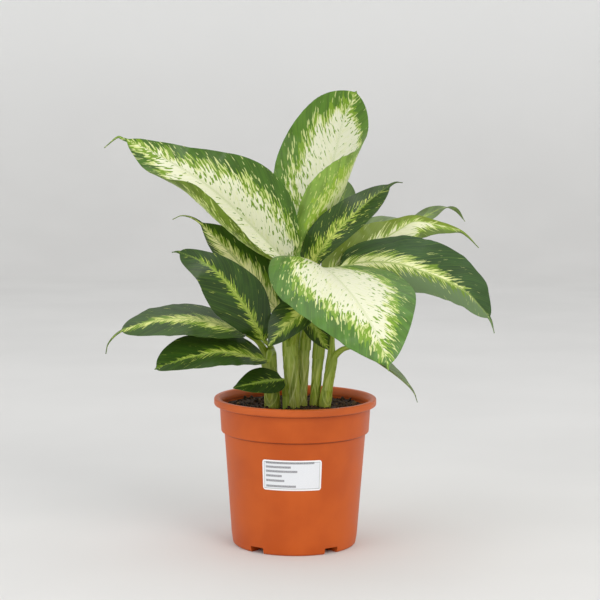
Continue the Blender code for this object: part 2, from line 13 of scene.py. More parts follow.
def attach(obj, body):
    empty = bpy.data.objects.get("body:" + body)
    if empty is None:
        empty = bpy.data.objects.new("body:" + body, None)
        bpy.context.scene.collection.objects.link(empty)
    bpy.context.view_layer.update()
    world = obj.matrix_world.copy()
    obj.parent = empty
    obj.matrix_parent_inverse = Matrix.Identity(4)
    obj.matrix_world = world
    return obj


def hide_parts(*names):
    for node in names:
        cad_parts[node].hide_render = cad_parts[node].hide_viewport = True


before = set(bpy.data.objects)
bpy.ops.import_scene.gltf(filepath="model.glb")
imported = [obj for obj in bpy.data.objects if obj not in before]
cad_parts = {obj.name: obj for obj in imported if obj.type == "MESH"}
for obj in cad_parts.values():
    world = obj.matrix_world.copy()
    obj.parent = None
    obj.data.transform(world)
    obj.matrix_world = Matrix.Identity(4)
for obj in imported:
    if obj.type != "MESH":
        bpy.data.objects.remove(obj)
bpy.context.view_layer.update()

# Pot, label and soil, as in the CAD part
POT_HEIGHT = 118.0
RIM_RADIUS = 65.0
RIM_DROP = 6.0
RIM_EDGE = 1.6  # rounding of the rim's outer edges
RIM_MOUTH = 61.0
MOUTH_FLARE = 3.5
COLLAR_TOP_RADIUS = 60.4
COLLAR_FOOT = 91.0
COLLAR_FOOT_RADIUS = 59.2
STEP = 0.7
INNER_STEP = 2.5
BODY_TOP_RADIUS = 56.6
BODY_FOOT_RADIUS = 50.6
BODY_FOOT = 8.0
BASE_RADIUS = 49.5
BASE_EDGE = 1.0
WALL = 1.6
FLOOR = 6.5
DRAINS = 5
DRAIN_TURN = 36.0
NOTCH_WIDTH = 12.0
NOTCH_HEIGHT = 5.0
NOTCH_INNER_RADIUS = 36.0
DRAIN_RADIUS = 3.5
DRAIN_RING = 41.0
POT_STEPS = 160  # facets round the finer pot
ROUND_SIDES = 40

LABEL_WIDTH = 46.5
LABEL_HEIGHT = 24.0
LABEL_CORNER = 2.0
LABEL_THICKNESS = 0.3
LABEL_MIDDLE = 65.0
LABEL_TURN = -2.2
LABEL_INSET = 1.5  # the bare border round the printed panel
BAR_HALF = 0.85
# Each grey bar's height above the label's middle, and its length
LABEL_BARS = ((10.0, 38.0), (6.6, 20.0), (3.2, 25.0), (-0.4, 13.0), (-4.2, 15.0), (-8.6, 24.0))

SOIL_LEVEL = 110.0
SOIL_UNEVEN = 1.0
SOIL_SHOULDER = 2.5
SOIL_STEPS = 150
SOIL_SEED = 12
CRUMBS = 620
FIBRES = 90
GAP = 0.3

CANE_COLLAR = 2.0
CANE_SWELL = 0.25
CANE_JOINTS = (3 / 9, 6 / 9)
CANE_STATIONS = 60
CANE_SIDES = 96
CANE_CAP = 2.6  # height of the dome on top
CANE_CAP_RINGS = 9
CANE_SUNK = 6.0
CLEARANCE = 0.1

PETIOLE_RADIUS = 1.8
STALK_RADIUS = 2.1
STALK_RISE = 4.0
PETIOLE_STATIONS = 26
FOOT_SUNK = 7.0  # how far a petiole goes on into its cane
STEM_SUNK = 14.0  # and one that rises from the soil into the ground
TAIL_RADIUS = 1.4
TAIL_END = 0.22
RIDGE_FADE = 1.2
LOBE_REACH = 0.15

BLADE_THICKNESS = 0.9  # the CAD blade, which sets where the petiole meets it
LEAF_THICKNESS = 0.5  # the blade shown, at the midrib
MARGIN_THICKNESS = 0.22

# Each cane: its foot (x, y), its top (x, y, z), and its radii from the soil to the top.
CANES = {
    "cane_left": dict(foot=(-18, -3), top=(-20.5, -4, 150), radii=[6.0, 5.8, 6.4, 7.2]),
    "cane_front": dict(foot=(-2, -5), top=(-4.2, -5.5, 159), radii=[6.0, 6.0, 6.4, 7.0]),
    "cane_back": dict(foot=(4.5, 4.5), top=(6.5, 6, 162), radii=[4.8, 5.0, 5.6, 6.2]),
    "cane_middle": dict(foot=(15.2, 5), top=(18.5, 6, 155), radii=[3.3, 4.2, 5.4]),
    "cane_right": dict(foot=(23.8, 1), top=(29, 1, 147), radii=[4.5, 4.7, 5.2]),
}

# Each leaf grows on a cane's top, at its seat's angle round the cane, and runs through the
# petiole's points and then the rib's to the tip. face holds the upward normal from base to tip.
# left and right hold each half's width, its fold up from the face and the further curl of its
# outer edge in degrees, all from base to tip; a half without one of these has none. tail is the share
# of the rib that is the drip tip. A larger belly draws the widest part on, a smaller sharp blunts the
# tip, and lobe is how far the base reaches back beside the petiole.
LEAVES = {
    "leaf_01": dict(cane="cane_front", seat=30, petiole=[(-3, -1, 192)],
        rib=[(-4, 2, 223), (-22, -8, 242), (-47, -20, 268), (-71, -28, 289), (-98, -32, 306),
             (-119, -32, 317), (-134, -30, 323), (-139, -28, 324), (-149, -26, 316)],
        face=[(-0.5, -0.8, 0.35), (-0.35, -0.85, 0.4), (-0.2, -0.8, 0.5)],
        left=dict(width=[29, 38, 44, 42, 26, 22], fold=[30, 10, 0, 0, 0],
                  curl=[116, 136, 152, 136, 25, 0]),
        right=dict(width=[38, 44, 40, 24, 15, 12], curl=[10, 0, -10, 0]),
        sharp=0.6, tail=0.12),
    "leaf_02": dict(cane="cane_back", seat=170, petiole=[(5, 9, 186)],
        rib=[(4, 11, 206), (7, 15, 226), (12, 20, 249), (24, 26, 284), (32, 26, 317),
             (38, 20, 341), (47, 10, 362)],
        face=[(-0.35, -0.9, 0.25), (-0.35, -0.9, 0.2), (-0.3, -0.95, -0.1)],
        left=dict(width=[36, 40, 48, 46, 40], fold=[5], curl=[0, -10]),
        right=dict(width=[54, 61, 66, 57, 44], curl=[155, 196, 182, 148, 88, 10]),
        belly=0.8, sharp=0.62, tail=0.01),
    "leaf_03": dict(cane="cane_back", seat=80, petiole=[(10, 22, 190), (12, 44, 211)],
        rib=[(15, 62, 226), (28, 73, 245), (37, 79, 268), (41, 82, 282), (40, 84, 293)],
        face=[(-0.2, -0.8, 0.5)],
        left=dict(width=[22], fold=[15]), right=dict(width=[24], fold=[15]), tail=0.05),
    "leaf_04": dict(cane="cane_back", seat=350, petiole=[(10, 4, 188)],
        rib=[(11, 2, 211), (15, -3, 229), (27, -11, 246), (42, -12, 262), (58, -6, 276),
             (76, 0, 289), (84, 0, 290)],
        face=[(-0.3, -0.9, 0.3)],
        left=dict(width=[15, 18, 15, 14], fold=[20]), right=dict(width=[7, 11, 17, 20], fold=[15]),
        sharp=0.7, tail=0.1),
    "leaf_05": dict(cane="cane_middle", seat=340, petiole=[(22, 9, 183)],
        rib=[(25, 15, 209), (32, 19, 222), (45, 22, 230), (65, 26, 240), (84, 31, 251), (96, 34, 257),
             (113, 36, 255), (130, 38, 251), (139, 38, 246), (149, 38, 236)],
        face=[(-0.3, -0.5, 0.8), (-0.2, -0.4, 0.9), (0.1, -0.5, 0.85), (0.2, -0.5, 0.85)],
        left=dict(width=[18, 21, 16, 8, 8, 10], fold=[60, 60, 40, 20, 10]),
        right=dict(width=[4, 8, 27, 25, 22], curl=[-10]), tail=0.12),
    "leaf_06": dict(cane="cane_middle", seat=100, petiole=[(20, 15, 183), (23, 24, 206)],
        rib=[(27, 30, 227), (52, 44, 245), (78, 56, 255), (103, 62, 259), (121, 64, 267),
             (132, 64, 266), (140, 64, 256)],
        face=[(0, -0.25, 0.95)],
        left=dict(width=[16], wave=3, waves=3),
        right=dict(width=[16], fold=[5], wave=3, waves=3, phase=0.5), tail=0.12),
    "leaf_07": dict(cane="cane_right", seat=120, petiole=[(30, 6, 180), (31, 9, 203)],
        rib=[(32, 9, 221), (55, 8, 226), (79, -3, 226), (98, -12, 221), (119, -17, 213),
             (135, -18, 204), (143, -17, 196), (153, -15, 184), (157, -14, 172)],
        face=[(0, -0.65, 0.75), (0.1, -0.7, 0.7), (0.4, -0.7, 0.6)],
        left=dict(width=[30, 32, 32, 27], fold=[5]),
        right=dict(width=[34, 28, 17, 16, 20], fold=[-50, -45, -50, -40], curl=[-10]),
        sharp=0.6, tail=0.09),
    "leaf_08": dict(cane="cane_middle", seat=220, petiole=[(17, 0, 183), (18, -5, 207)],
        rib=[(19, -10, 223), (28, -34, 220), (38, -64, 212), (48, -90, 201), (57, -108, 187),
             (65, -120, 169), (68, -124, 157)],
        face=[(-0.1, -0.1, 1), (-0.1, -0.5, 0.8), (-0.1, -0.75, 0.6)],
        left=dict(width=[52, 53, 52, 45], fold=[-2, -8, -8, -4], curl=[-10]),
        right=dict(width=[62, 54, 50, 44], fold=[56, 24, 17, 12], curl=[-60, -22, -10]),
        belly=0.4, sharp=0.7, tail=0.03, lobe=17),
    "leaf_09": dict(cane="cane_right", seat=320, stalk=1.7, petiole=[(37, -1, 156)],
        rib=[(44, 0, 160), (59, -6, 153), (75, -10, 142), (87, -12, 132), (94, -12, 124),
             (97, -12, 116)],
        face=[(0.4, -0.05, 0.9)],
        left=dict(width=[14], fold=[10]), right=dict(width=[14], fold=[10])),
    "leaf_10": dict(cane="cane_front", seat=210, petiole=[(-9, -7, 170)],
        rib=[(-10, -6, 182), (-24, -9, 200), (-36, -12, 216), (-49, -15, 231), (-63, -19, 246),
             (-77, -24, 260), (-88, -28, 264), (-96, -30, 261)],
        face=[(-0.4, -0.75, 0.5)],
        left=dict(width=[20], fold=[-50]), right=dict(width=[24], fold=[-25]), belly=0.8, tail=0.2),
    "leaf_11": dict(cane="cane_left", seat=65, petiole=[(-20.5, -9, 161)],
        rib=[(-24, -22, 164), (-31, -32, 179), (-41, -39, 197), (-51, -44, 211), (-62, -48, 223),
             (-74, -50, 231), (-89, -50, 237), (-95, -50, 237)],
        face=[(-0.4, -0.75, 0.5)],
        left=dict(width=[16, 20, 23, 20, 16, 15], fold=[10]),
        right=dict(width=[16, 21, 22, 16, 10, 8], fold=[-16, -4, 10]), sharp=0.4, tail=0.06),
    "leaf_12": dict(cane="cane_left", seat=185, petiole=[(-29, -8, 162)],
        rib=[(-37, -17, 171), (-45, -22, 175), (-58, -28, 179), (-81, -34, 184), (-101, -38, 184),
             (-114, -40, 182), (-128, -40, 178), (-138, -40, 173), (-145, -40, 165), (-147, -40, 157)],
        face=[(0, -0.5, 0.85)],
        left=dict(width=[22]), right=dict(width=[30, 29, 25, 26, 26], fold=[-10]),
        sharp=0.55, tail=0.18),
    "leaf_13": dict(cane="cane_left", seat=305, petiole=[(-20, -15, 155)],
        rib=[(-21, -26, 151), (-30, -30, 153), (-44, -36, 157), (-58, -42, 159), (-71, -48, 158),
             (-85, -52, 155), (-98, -54, 151), (-108, -54, 147)],
        face=[(0, -0.6, 0.8)],
        left=dict(width=[16, 20, 22, 18, 12], fold=[15]),
        right=dict(width=[33, 29, 25, 25, 26], fold=[-6, 0, 0]), belly=0.55, sharp=0.45, tail=0.02),
    "leaf_14": dict(cane="cane_front", start=(-8.3, -10.3, 117), stalk=1.6, petiole=[(-9, -14, 129)],
        rib=[(-9, -19, 135), (-17, -26, 135), (-26, -34, 135), (-35, -41, 134), (-43, -46, 133),
             (-48, -48, 132)],
        face=[(0, -0.7, 0.7)],
        left=dict(width=[13]), right=dict(width=[13], fold=[10]), tail=0.03),
    "leaf_15": dict(cane="cane_front", seat=300, stalk=1.7, petiole=[(2, -18, 175), (10, -29, 192)],
        rib=[(14, -31, 196), (3, -38, 188), (-7, -42, 180), (-15, -43, 171), (-21, -43, 164)],
        face=[(-0.3, -0.8, 0.5)],
        left=dict(width=[14], fold=[10]), right=dict(width=[18], fold=[10]), tail=0.02),
    "leaf_16": dict(cane="cane_back", seat=260, stalk=1.7, petiole=[(7, -5, 176)],
        rib=[(8, -7, 187), (15, -14, 177), (21, -18, 166), (26, -21, 159)],
        face=[(0.2, -0.8, 0.5)],
        left=dict(width=[11], fold=[10]), right=dict(width=[11], fold=[10]), tail=0.02),
    "leaf_17": dict(cane="cane_front", seat=120, petiole=[(-7, 3, 182)],
        rib=[(-7, 12, 207), (-25, 22, 224), (-43, 30, 244), (-63, 36, 262)],
        face=[(-0.3, -0.8, 0.5)],
        left=dict(width=[18], fold=[10]), right=dict(width=[18], fold=[10]), tail=0.05),
}

# How each leaf is painted. left and right hold the share of the half that the pale centre reaches
# over, from base to tip, and are alike where only left is given. feather is how far its edge breaks
# up, in millimetres, and run how long the flecks are drawn out along the veins, 1 being round. fleck
# is how thickly they lie, coarse enlarges them, and wide is how far the edge's broad swings go, in
# feathers. green is the margin's colour, pale the centre's, under the green of the underside where it
# is seen, left_green and right_green one half's green, which is painted light shining through the
# upturned half on leaf_05 and a painted sheen on leaf_07, and rib how strongly the midrib shows.
# crimp waves the margin, in millimetres.
PAINT = {
    "leaf_01": dict(left=[0.9, 0.8, 0.72, 0.7, 0.5, 0.1, -0.3],
        right=[0.8, 0.62, 0.55, 0.5, 0.3, 0, -0.3], feather=11, run=0.7, coarse=1.35, fleck=2.4,
        wide=0.6, rib=0.25, crimp=3.2, green=(70, 108, 28), pale=(236, 236, 208),
        under=(112, 138, 34)),
    "leaf_02": dict(left=[0.5, 0.6, 0.62, 0.62, 0.55, 0.45, -0.4],
        right=[0.5, 0.6, 0.7, 0.74, 0.66, 0.4, -0.4], feather=13, run=0.7, coarse=1.35, fleck=1.8,
        wide=0.5, rib=0.25, green=(90, 132, 36), pale=(238, 238, 212), under=(140, 175, 74)),
    "leaf_03": dict(left=[-0.6], feather=4, green=(104, 130, 76), pale=(200, 215, 150)),
    "leaf_04": dict(left=[0.34, 0.22, 0.1, -0.1, -0.6, -1.6],
        right=[0.34, 0.16, 0.04, -0.15, -0.7, -1.6], feather=9, run=0.4, coarse=0.75, fleck=1.6,
        green=(48, 76, 20), pale=(206, 212, 110), rib=0.45),
    # leaf_05's left_green is painted light shining through its upturned far half
    "leaf_05": dict(left=[0.1, 0.15, 0.2, 0.15, -0.2, -0.6],
        right=[0.9, 0.9, 0.85, 0.78, 0.45, -0.1, -0.6], feather=6, green=(98, 122, 40),
        pale=(236, 236, 200), under=(100, 130, 20), left_green=(118, 138, 24), crimp=2.2),
    "leaf_06": dict(left=[0.1, 0, -0.2, -0.5], right=[0.3, 0.3, 0.1, -0.1, -0.5], feather=5,
        green=(114, 136, 82), pale=(206, 216, 170)),
    # leaf_07's right_green is a painted sheen on its near half
    "leaf_07": dict(left=[0.16, 0.24, 0.22, 0.14, 0, -0.5, -2],
        right=[0.35, 0.3, 0.14, 0.02, -0.1, -0.6, -2], feather=9, run=0.2, coarse=0.75, fleck=0.1,
        green=(52, 84, 34), pale=(232, 234, 180), right_green=(116, 140, 98)),
    "leaf_08": dict(left=[0.3, 0.52, 0.64, 0.62, 0.5, 0.26, -0.4],
        right=[0.42, 0.6, 0.64, 0.56, 0.42, 0.2, -0.4], feather=13, run=0.75, coarse=1.5, fleck=1.2,
        rib=0.3, green=(88, 130, 50), pale=(232, 232, 204)),
    "leaf_09": dict(left=[-0.3], feather=4, green=(104, 126, 72), pale=(190, 205, 140)),
    "leaf_10": dict(left=[0.6, 0.6, 0.5, 0.3, -0.2], right=[0.4, 0.4, 0.3, 0.2, -0.1, -0.4],
        feather=7, green=(54, 86, 16), pale=(242, 240, 172)),
    "leaf_11": dict(left=[0.08, 0.06, 0.02, -0.03, -0.2, -0.8], feather=7, run=0.25, coarse=0.75,
        fleck=-0.3, green=(44, 74, 18), pale=(180, 198, 74), rib=0.5),
    "leaf_12": dict(left=[0.14, 0.24, 0.22, 0.1, -0.05, -0.6],
        right=[0.12, 0.22, 0.2, 0.08, -0.05, -0.5, -0.9], feather=8, run=0.25, coarse=0.75, fleck=0,
        green=(54, 84, 26), pale=(216, 220, 140)),
    "leaf_13": dict(left=[0.14, 0.14, 0.06, -0.04, -0.14, -0.5],
        right=[0.16, 0.16, 0.08, -0.02, -0.14, -0.5], feather=8, run=0.25, coarse=0.75, fleck=-0.3,
        green=(46, 76, 18), pale=(194, 206, 100)),
    "leaf_14": dict(left=[0.06, 0, -0.2], feather=3.5, green=(38, 66, 10), pale=(128, 160, 52)),
    "leaf_15": dict(left=[0.4, 0.3, 0.2, 0.1, 0], right=[0.35, 0.3, 0.2, 0.1, 0], feather=6,
        green=(44, 70, 14), pale=(196, 202, 104)),
    "leaf_16": dict(left=[0.2, 0.15, 0.1, 0], feather=6, green=(44, 68, 18), pale=(160, 174, 74)),
    "leaf_17": dict(left=[-0.2], feather=4, green=(56, 84, 26), pale=(180, 200, 100)),
}

VEIN_LEAN = 1.2  # how far a side vein runs towards the tip for each step outwards
VEIN_CURVE = 0.5  # and how much more near the margin
VEIN_SPACING = 6.5
CRIMP = 1.5  # how far the margin waves, unless its leaf says otherwise
QUILT = 0.16  # height of the blade's swell between its veins

FOOT_FLARE = 0.75  # how much wider a petiole is at its sheathing foot
FOOT_REACH = 12.0  # and how far up that tells
SHEATHS = 2  # leaf bases that wrap each cane
SHEATH_STEP = 0.6  # how far the edge of one stands out
# Each cane's deep, light and streak colours
CANE_TINTS = {
    "cane_back": ((142, 160, 44), (180, 192, 84), (216, 218, 146)),
    "cane_front": ((136, 156, 34), (174, 190, 70), (214, 220, 144)),
    "others": ((128, 152, 26), (170, 188, 56), (204, 214, 116)),
}
STALK_TINTS = ((126, 150, 36), (176, 190, 84))  # a petiole's, which the cane's top takes on

FLOOR_RADIUS = 2400.0
FLOOR_BEND = 800.0  # radius of the curve up into the wall
FLOOR_STEPS = 96
LIT_POINT = (0.0, 0.0, 0.18)
CAMERA_PLACE = (0.0033, -1.317, 0.3298)
CAMERA_PITCH = 5.8
CAMERA_ROLL = 0.4
CAMERA_LENS = 99.6


def mm(value):
    return value / 1000.0


def shade(red, green, blue):
    """An sRGB colour, 0 to 255, as the linear values that a shader takes"""
    parts = [c / 255.0 for c in (red, green, blue)]
    return (*[c / 12.92 if c <= 0.04045 else ((c + 0.055) / 1.055) ** 2.4 for c in parts], 1.0)


# Node trees

class Paint:
    """A material and short calls for the nodes that paint it"""

    def __init__(self, name, specular):
        self.material = bpy.data.materials.new(name)
        self.material.use_nodes = True
        self.tree = self.material.node_tree
        self.shader = self.tree.nodes["Principled BSDF"].inputs
        self.shader["Specular IOR Level"].default_value = specular

    def feed(self, socket, value):
        if isinstance(value, bpy.types.NodeSocket):
            self.tree.links.new(value, socket)
        else:
            socket.default_value = value

    def node(self, kind, *values, operation=None):
        """A new node with its operation set and its first inputs fed"""
        made = self.tree.nodes.new("ShaderNode" + kind)
        if operation:
            made.operation = operation
        for socket, value in zip(made.inputs, values):
            self.feed(socket, value)
        return made

    def math(self, operation, *values):
        return self.node("Math", *values, operation=operation).outputs[0]

    def away(self, value, centre):
        """How far value is from centre"""
        return self.math("ABSOLUTE", self.math("SUBTRACT", value, centre))

    def step(self, value, low, high, least=0.0, most=1.0):
        """A smooth step from least to most as value goes from low to high"""
        made = self.node("MapRange", value, low, high, least, most)
        made.interpolation_type = "SMOOTHSTEP"
        return made.outputs["Result"]

    def mix(self, share, first, second):
        """From the first colour to the second, each a socket or sRGB numbers from 0 to 255"""
        made = self.node("Mix")
        made.data_type = "RGBA"
        colours = [c if isinstance(c, bpy.types.NodeSocket) else shade(*c) for c in (first, second)]
        for index, value in zip((0, 6, 7), (share, *colours)):
            self.feed(made.inputs[index], value)
        return made.outputs[2]

    def tint(self, body, colour, value, low, high, least=0.0, most=1.0):
        """The body's colour mixed with another, from least to most as value goes from low to high"""
        return self.mix(self.step(value, low, high, least, most), body, colour)

    def stored(self, name, kind="Fac"):
        """What the mesh stores under this name: one number, or a Vector"""
        made = self.node("Attribute")
        made.attribute_name = name
        return made.outputs[kind]

    def scaled(self, vector, scale, shift=(0.0, 0.0, 0.0)):
        return self.node("VectorMath", vector, scale, shift, operation="MULTIPLY_ADD").outputs[0]

    def place(self):
        """The point's place on the piece, in millimetres"""
        return self.scaled(self.node("TexCoord").outputs["Object"], (1000.0, 1000.0, 1000.0))

    def parts(self, vector):
        return self.node("SeparateXYZ", vector).outputs

    def noise(self, vector, scale, detail=2.0, roughness=0.5, shift=(0.0, 0.0, 0.0)):
        """Noise from about 0 to 1 over the vector, which is scaled and then shifted"""
        made = self.node("TexNoise")
        self.feed(made.inputs["Vector"], self.scaled(vector, scale, shift))
        for key, number in (("Scale", 1.0), ("Detail", detail), ("Roughness", roughness)):
            made.inputs[key].default_value = number
        return made.outputs["Fac"]

    def finish(self, colour, roughness, height=None, depth=0.0):
        """The material with its colour and roughness, and bump of this depth in millimetres"""
        self.feed(self.shader["Base Color"], colour)
        self.feed(self.shader["Roughness"], roughness)
        if height is not None:
            made = self.node("Bump", 1.0, mm(depth))
            self.feed(made.inputs["Height"], height)
            self.feed(self.shader["Normal"], made.outputs["Normal"])
        return self.material


# Meshes

def link(name, data):
    """A new object of the scene"""
    obj = bpy.data.objects.new(name, data)
    bpy.context.scene.collection.objects.link(obj)
    return obj


def add_piece(name, mesh, materials, node, sharp=None):
    """A finished piece that stands for a CAD node, with edges over the sharp angle kept crisp"""
    mesh.shade_smooth()
    if sharp:
        mesh.set_sharp_from_angle(angle=math.radians(sharp))
    for finish in materials:
        mesh.materials.append(finish)
    piece = link(name, mesh)
    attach(piece, "root")
    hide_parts(node)


def solid_mesh(name, points, faces, add=None):
    """A mesh from points in millimetres, with what add puts in and its faces turned outwards"""
    mesh = bpy.data.meshes.new(name)
    mesh.from_pydata((np.asarray(points) / 1000.0).tolist(), [], faces)
    shape = bmesh.new()
    shape.from_mesh(mesh)
    if add:
        add(shape)
    bmesh.ops.recalc_face_normals(shape, faces=shape.faces)
    shape.to_mesh(mesh)
    shape.free()
    return mesh


def store(mesh, name, values, kind="FLOAT"):
    made = mesh.attributes.new(name, kind, "POINT")
    key = "value" if kind == "FLOAT" else "vector"
    made.data.foreach_set(key, np.asarray(values, np.float32).ravel())


def unit(vectors):
    return vectors / np.linalg.norm(vectors, axis=-1, keepdims=True)


def square_to(axes, vectors):
    """The unit vectors square to the axes that come nearest to the ones given"""
    return unit(vectors - (vectors * axes).sum(-1, keepdims=True) * axes)


def smooth(value, low, high):
    share = np.clip((value - low) / (high - low), 0, 1)
    return share * share * (3 - 2 * share)


def circle(radius, height, steps):
    """A ring of points round the pot's axis"""
    turns = np.linspace(0, 2 * math.pi, steps, endpoint=False)
    return np.stack([radius * np.cos(turns), radius * np.sin(turns), np.full(steps, height)], 1)


def ring_faces(rings, count):
    """Quads between closed rings of count points each"""
    return [(r * count + k, r * count + (k + 1) % count,
             (r + 1) * count + (k + 1) % count, (r + 1) * count + k)
            for r in range(rings - 1) for k in range(count)]


def capped(rings, first, last):
    """Points and faces of rings joined in order, with a fan to a point at each end"""
    steps = len(rings[0])
    points = np.concatenate([*rings, [first, last]])
    faces = ring_faces(len(rings), steps)
    base = (len(rings) - 1) * steps
    for k in range(steps):
        after = (k + 1) % steps
        faces += [(len(points) - 2, after, k), (len(points) - 1, base + k, base + after)]
    return points, faces


# Pot

def body_radius(height):
    return np.interp(height, (0.0, BODY_FOOT, COLLAR_FOOT - STEP),
                     (BASE_RADIUS, BODY_FOOT_RADIUS, BODY_TOP_RADIUS))


def inner_wall():
    return [(body_radius(FLOOR) - WALL, FLOOR),
            (BODY_TOP_RADIUS - WALL, COLLAR_FOOT - INNER_STEP),
            (COLLAR_FOOT_RADIUS - WALL, COLLAR_FOOT),
            (COLLAR_TOP_RADIUS - WALL, POT_HEIGHT - MOUTH_FLARE)]


def rounded(points, radii):
    """The polyline with each inner corner turned into an arc of about the radius given"""
    made = [points[0]]
    for before, corner, after, radius in zip(points, points[1:], points[2:], radii[1:]):
        into, out = np.subtract(corner, before), np.subtract(after, corner)
        reach = min(radius, 0.45 * np.linalg.norm(into), 0.45 * np.linalg.norm(out))
        first, last = corner - unit(into) * reach, corner + unit(out) * reach
        for u in np.linspace(0, 1, 5):
            made.append((1 - u)**2 * first + 2 * u * (1 - u) * np.array(corner) + u**2 * last)
    return made + [points[-1]]


def pot_profile():
    """The pot's section from the middle of its floor round to the middle of its underside"""
    band = POT_HEIGHT - RIM_DROP
    corners = [((0.0, FLOOR), 0), *zip(inner_wall(), (1.5, 1.2, 1.2, 2.0)),
               ((RIM_MOUTH, POT_HEIGHT), 1.2),
               ((RIM_RADIUS, POT_HEIGHT), RIM_EDGE),
               ((RIM_RADIUS, band), RIM_EDGE),
               ((COLLAR_TOP_RADIUS + 0.6, band), 0.3),
               ((COLLAR_TOP_RADIUS, band - 0.8), 0.3),
               ((COLLAR_FOOT_RADIUS, COLLAR_FOOT), 0.8),
               ((BODY_TOP_RADIUS, COLLAR_FOOT - STEP), 0.8),
               ((BODY_FOOT_RADIUS, BODY_FOOT), 3.0),
               ((BASE_RADIUS, BASE_EDGE), 1.0),
               ((BASE_RADIUS - BASE_EDGE, 0.0), 0.5),
               ((0.0, 0.0), 0)]
    return rounded(*zip(*corners))


def add_notch(shapes, turn):
    length = RIM_RADIUS - NOTCH_INNER_RADIUS
    place = (turn @ Matrix.Translation((mm(NOTCH_INNER_RADIUS + length / 2), 0.0, 0.0))
             @ Matrix.Diagonal((mm(length), mm(NOTCH_WIDTH), mm(2 * NOTCH_HEIGHT), 1.0)))
    bmesh.ops.create_cube(shapes, size=1.0, matrix=place)


def add_hole(shapes, turn):
    low, high = NOTCH_HEIGHT / 2, FLOOR + 1.0
    place = turn @ Matrix.Translation((mm(DRAIN_RING), 0.0, mm((low + high) / 2)))
    bmesh.ops.create_cone(shapes, cap_ends=True, segments=ROUND_SIDES, radius1=mm(DRAIN_RADIUS),
                          radius2=mm(DRAIN_RADIUS), depth=mm(high - low), matrix=place)


def cutter(name, add):
    """One shape for each drain, to be cut out of the pot"""
    shapes = bmesh.new()
    for k in range(DRAINS):
        turn = math.radians(DRAIN_TURN + k * 360.0 / DRAINS - 90.0)
        add(shapes, Matrix.Rotation(turn, 4, "Z"))
    mesh = bpy.data.meshes.new(name)
    shapes.to_mesh(mesh)
    shapes.free()
    return link(name, mesh)


def plastic():
    """Matt terracotta-coloured plastic, paler towards the rim, with painted shade along its ledges"""
    paint = Paint("terracotta_plastic", 0.3)
    place = paint.place()
    height = paint.parts(place)[2]
    cloud = paint.noise(place, (0.035, 0.035, 0.03), 3.0)
    grain = paint.noise(place, (0.9, 0.9, 0.35), 4.0, 0.7)
    body = paint.tint((190, 82, 20), (202, 92, 27), cloud, 0.3, 0.7)
    body = paint.tint(body, (214, 114, 58), height, 110.0, 114.0, 0.0, 0.25)
    body = paint.tint(body, (222, 138, 82), grain, 0.6, 0.8, 0.0, 0.16)
    # painted shade: a dark line under the collar's step and another under the rim's band
    for ledge, strength in ((COLLAR_FOOT - STEP, 0.6), (POT_HEIGHT - RIM_DROP - 0.6, 0.45)):
        body = paint.tint(body, (120, 44, 12), paint.away(height, ledge), 0.2, 1.1, strength, 0.0)
    fine = paint.noise(place, (2.2, 2.2, 1.2), 3.0, 0.6)
    return paint.finish(body, paint.step(cloud, 0.25, 0.75, 0.36, 0.5), fine, 0.035)


def build_pot():
    profile = pot_profile()
    rings = [circle(radius, height, POT_STEPS) for radius, height in profile[1:-1]]
    pot = link("pot_shell", solid_mesh("pot_shell", *capped(rings, (0, 0, FLOOR), (0, 0, 0))))
    cutters = [cutter("notches", add_notch), cutter("holes", add_hole)]
    for tool in cutters:
        boolean = pot.modifiers.new(tool.name, "BOOLEAN")
        boolean.operation = "DIFFERENCE"
        boolean.object = tool
    graph = bpy.context.evaluated_depsgraph_get()
    finished = bpy.data.meshes.new_from_object(pot.evaluated_get(graph))
    for obj in [pot, *cutters]:
        bpy.data.objects.remove(obj)
    finished.materials.clear()
    add_piece("nursery_pot", finished, [plastic()], "pot", 40)


# Label

def paper():
    """Blank paper with a pale printed panel and plain grey bars where the real one has words"""
    paint = Paint("label_paper", 0.4)
    sheet = paint.stored("sheet", "Vector")
    across, up = paint.parts(sheet)[:2]

    def beyond(left, right, low, high):
        """How far a point lies outside this box, less than zero inside it"""
        sides = [paint.math("SUBTRACT", paint.away(value, (a + b) / 2), (b - a) / 2)
                 for value, a, b in ((across, left, right), (up, low, high))]
        return paint.math("MAXIMUM", *sides)

    wide, tall = LABEL_WIDTH / 2 - LABEL_INSET, LABEL_HEIGHT / 2 - LABEL_INSET
    edge = beyond(-wide, wide, -tall, tall)
    bars = 0.0
    for height, length in LABEL_BARS:
        bar = beyond(1.4 - wide, 1.0 - wide + length, height - BAR_HALF, height + BAR_HALF)
        bars = paint.math("MAXIMUM", paint.step(bar, -0.15, 0.15, 1.0, 0.0), bars)
    worn = paint.noise(sheet, (2.2, 1.6, 1.0), 3.0, 0.7)
    bars = paint.math("MULTIPLY", bars, paint.step(worn, 0.3, 0.62, 0.35, 0.85))
    fibre = paint.noise(sheet, (0.9, 2.4, 1.0), 4.0, 0.6)
    bare = paint.tint((248, 246, 247), (254, 252, 252), fibre, 0.3, 0.7)
    panel = paint.tint((230, 233, 238), (238, 240, 244), fibre, 0.3, 0.7)
    body = paint.tint(bare, panel, edge, -0.1, 0.1, 1.0, 0.0)
    body = paint.tint(body, (140, 150, 150), paint.math("ABSOLUTE", edge), 0.12, 0.35, 0.7, 0.0)
    return paint.finish(paint.mix(bars, body, (96, 95, 100)), 0.42, fibre, 0.03)


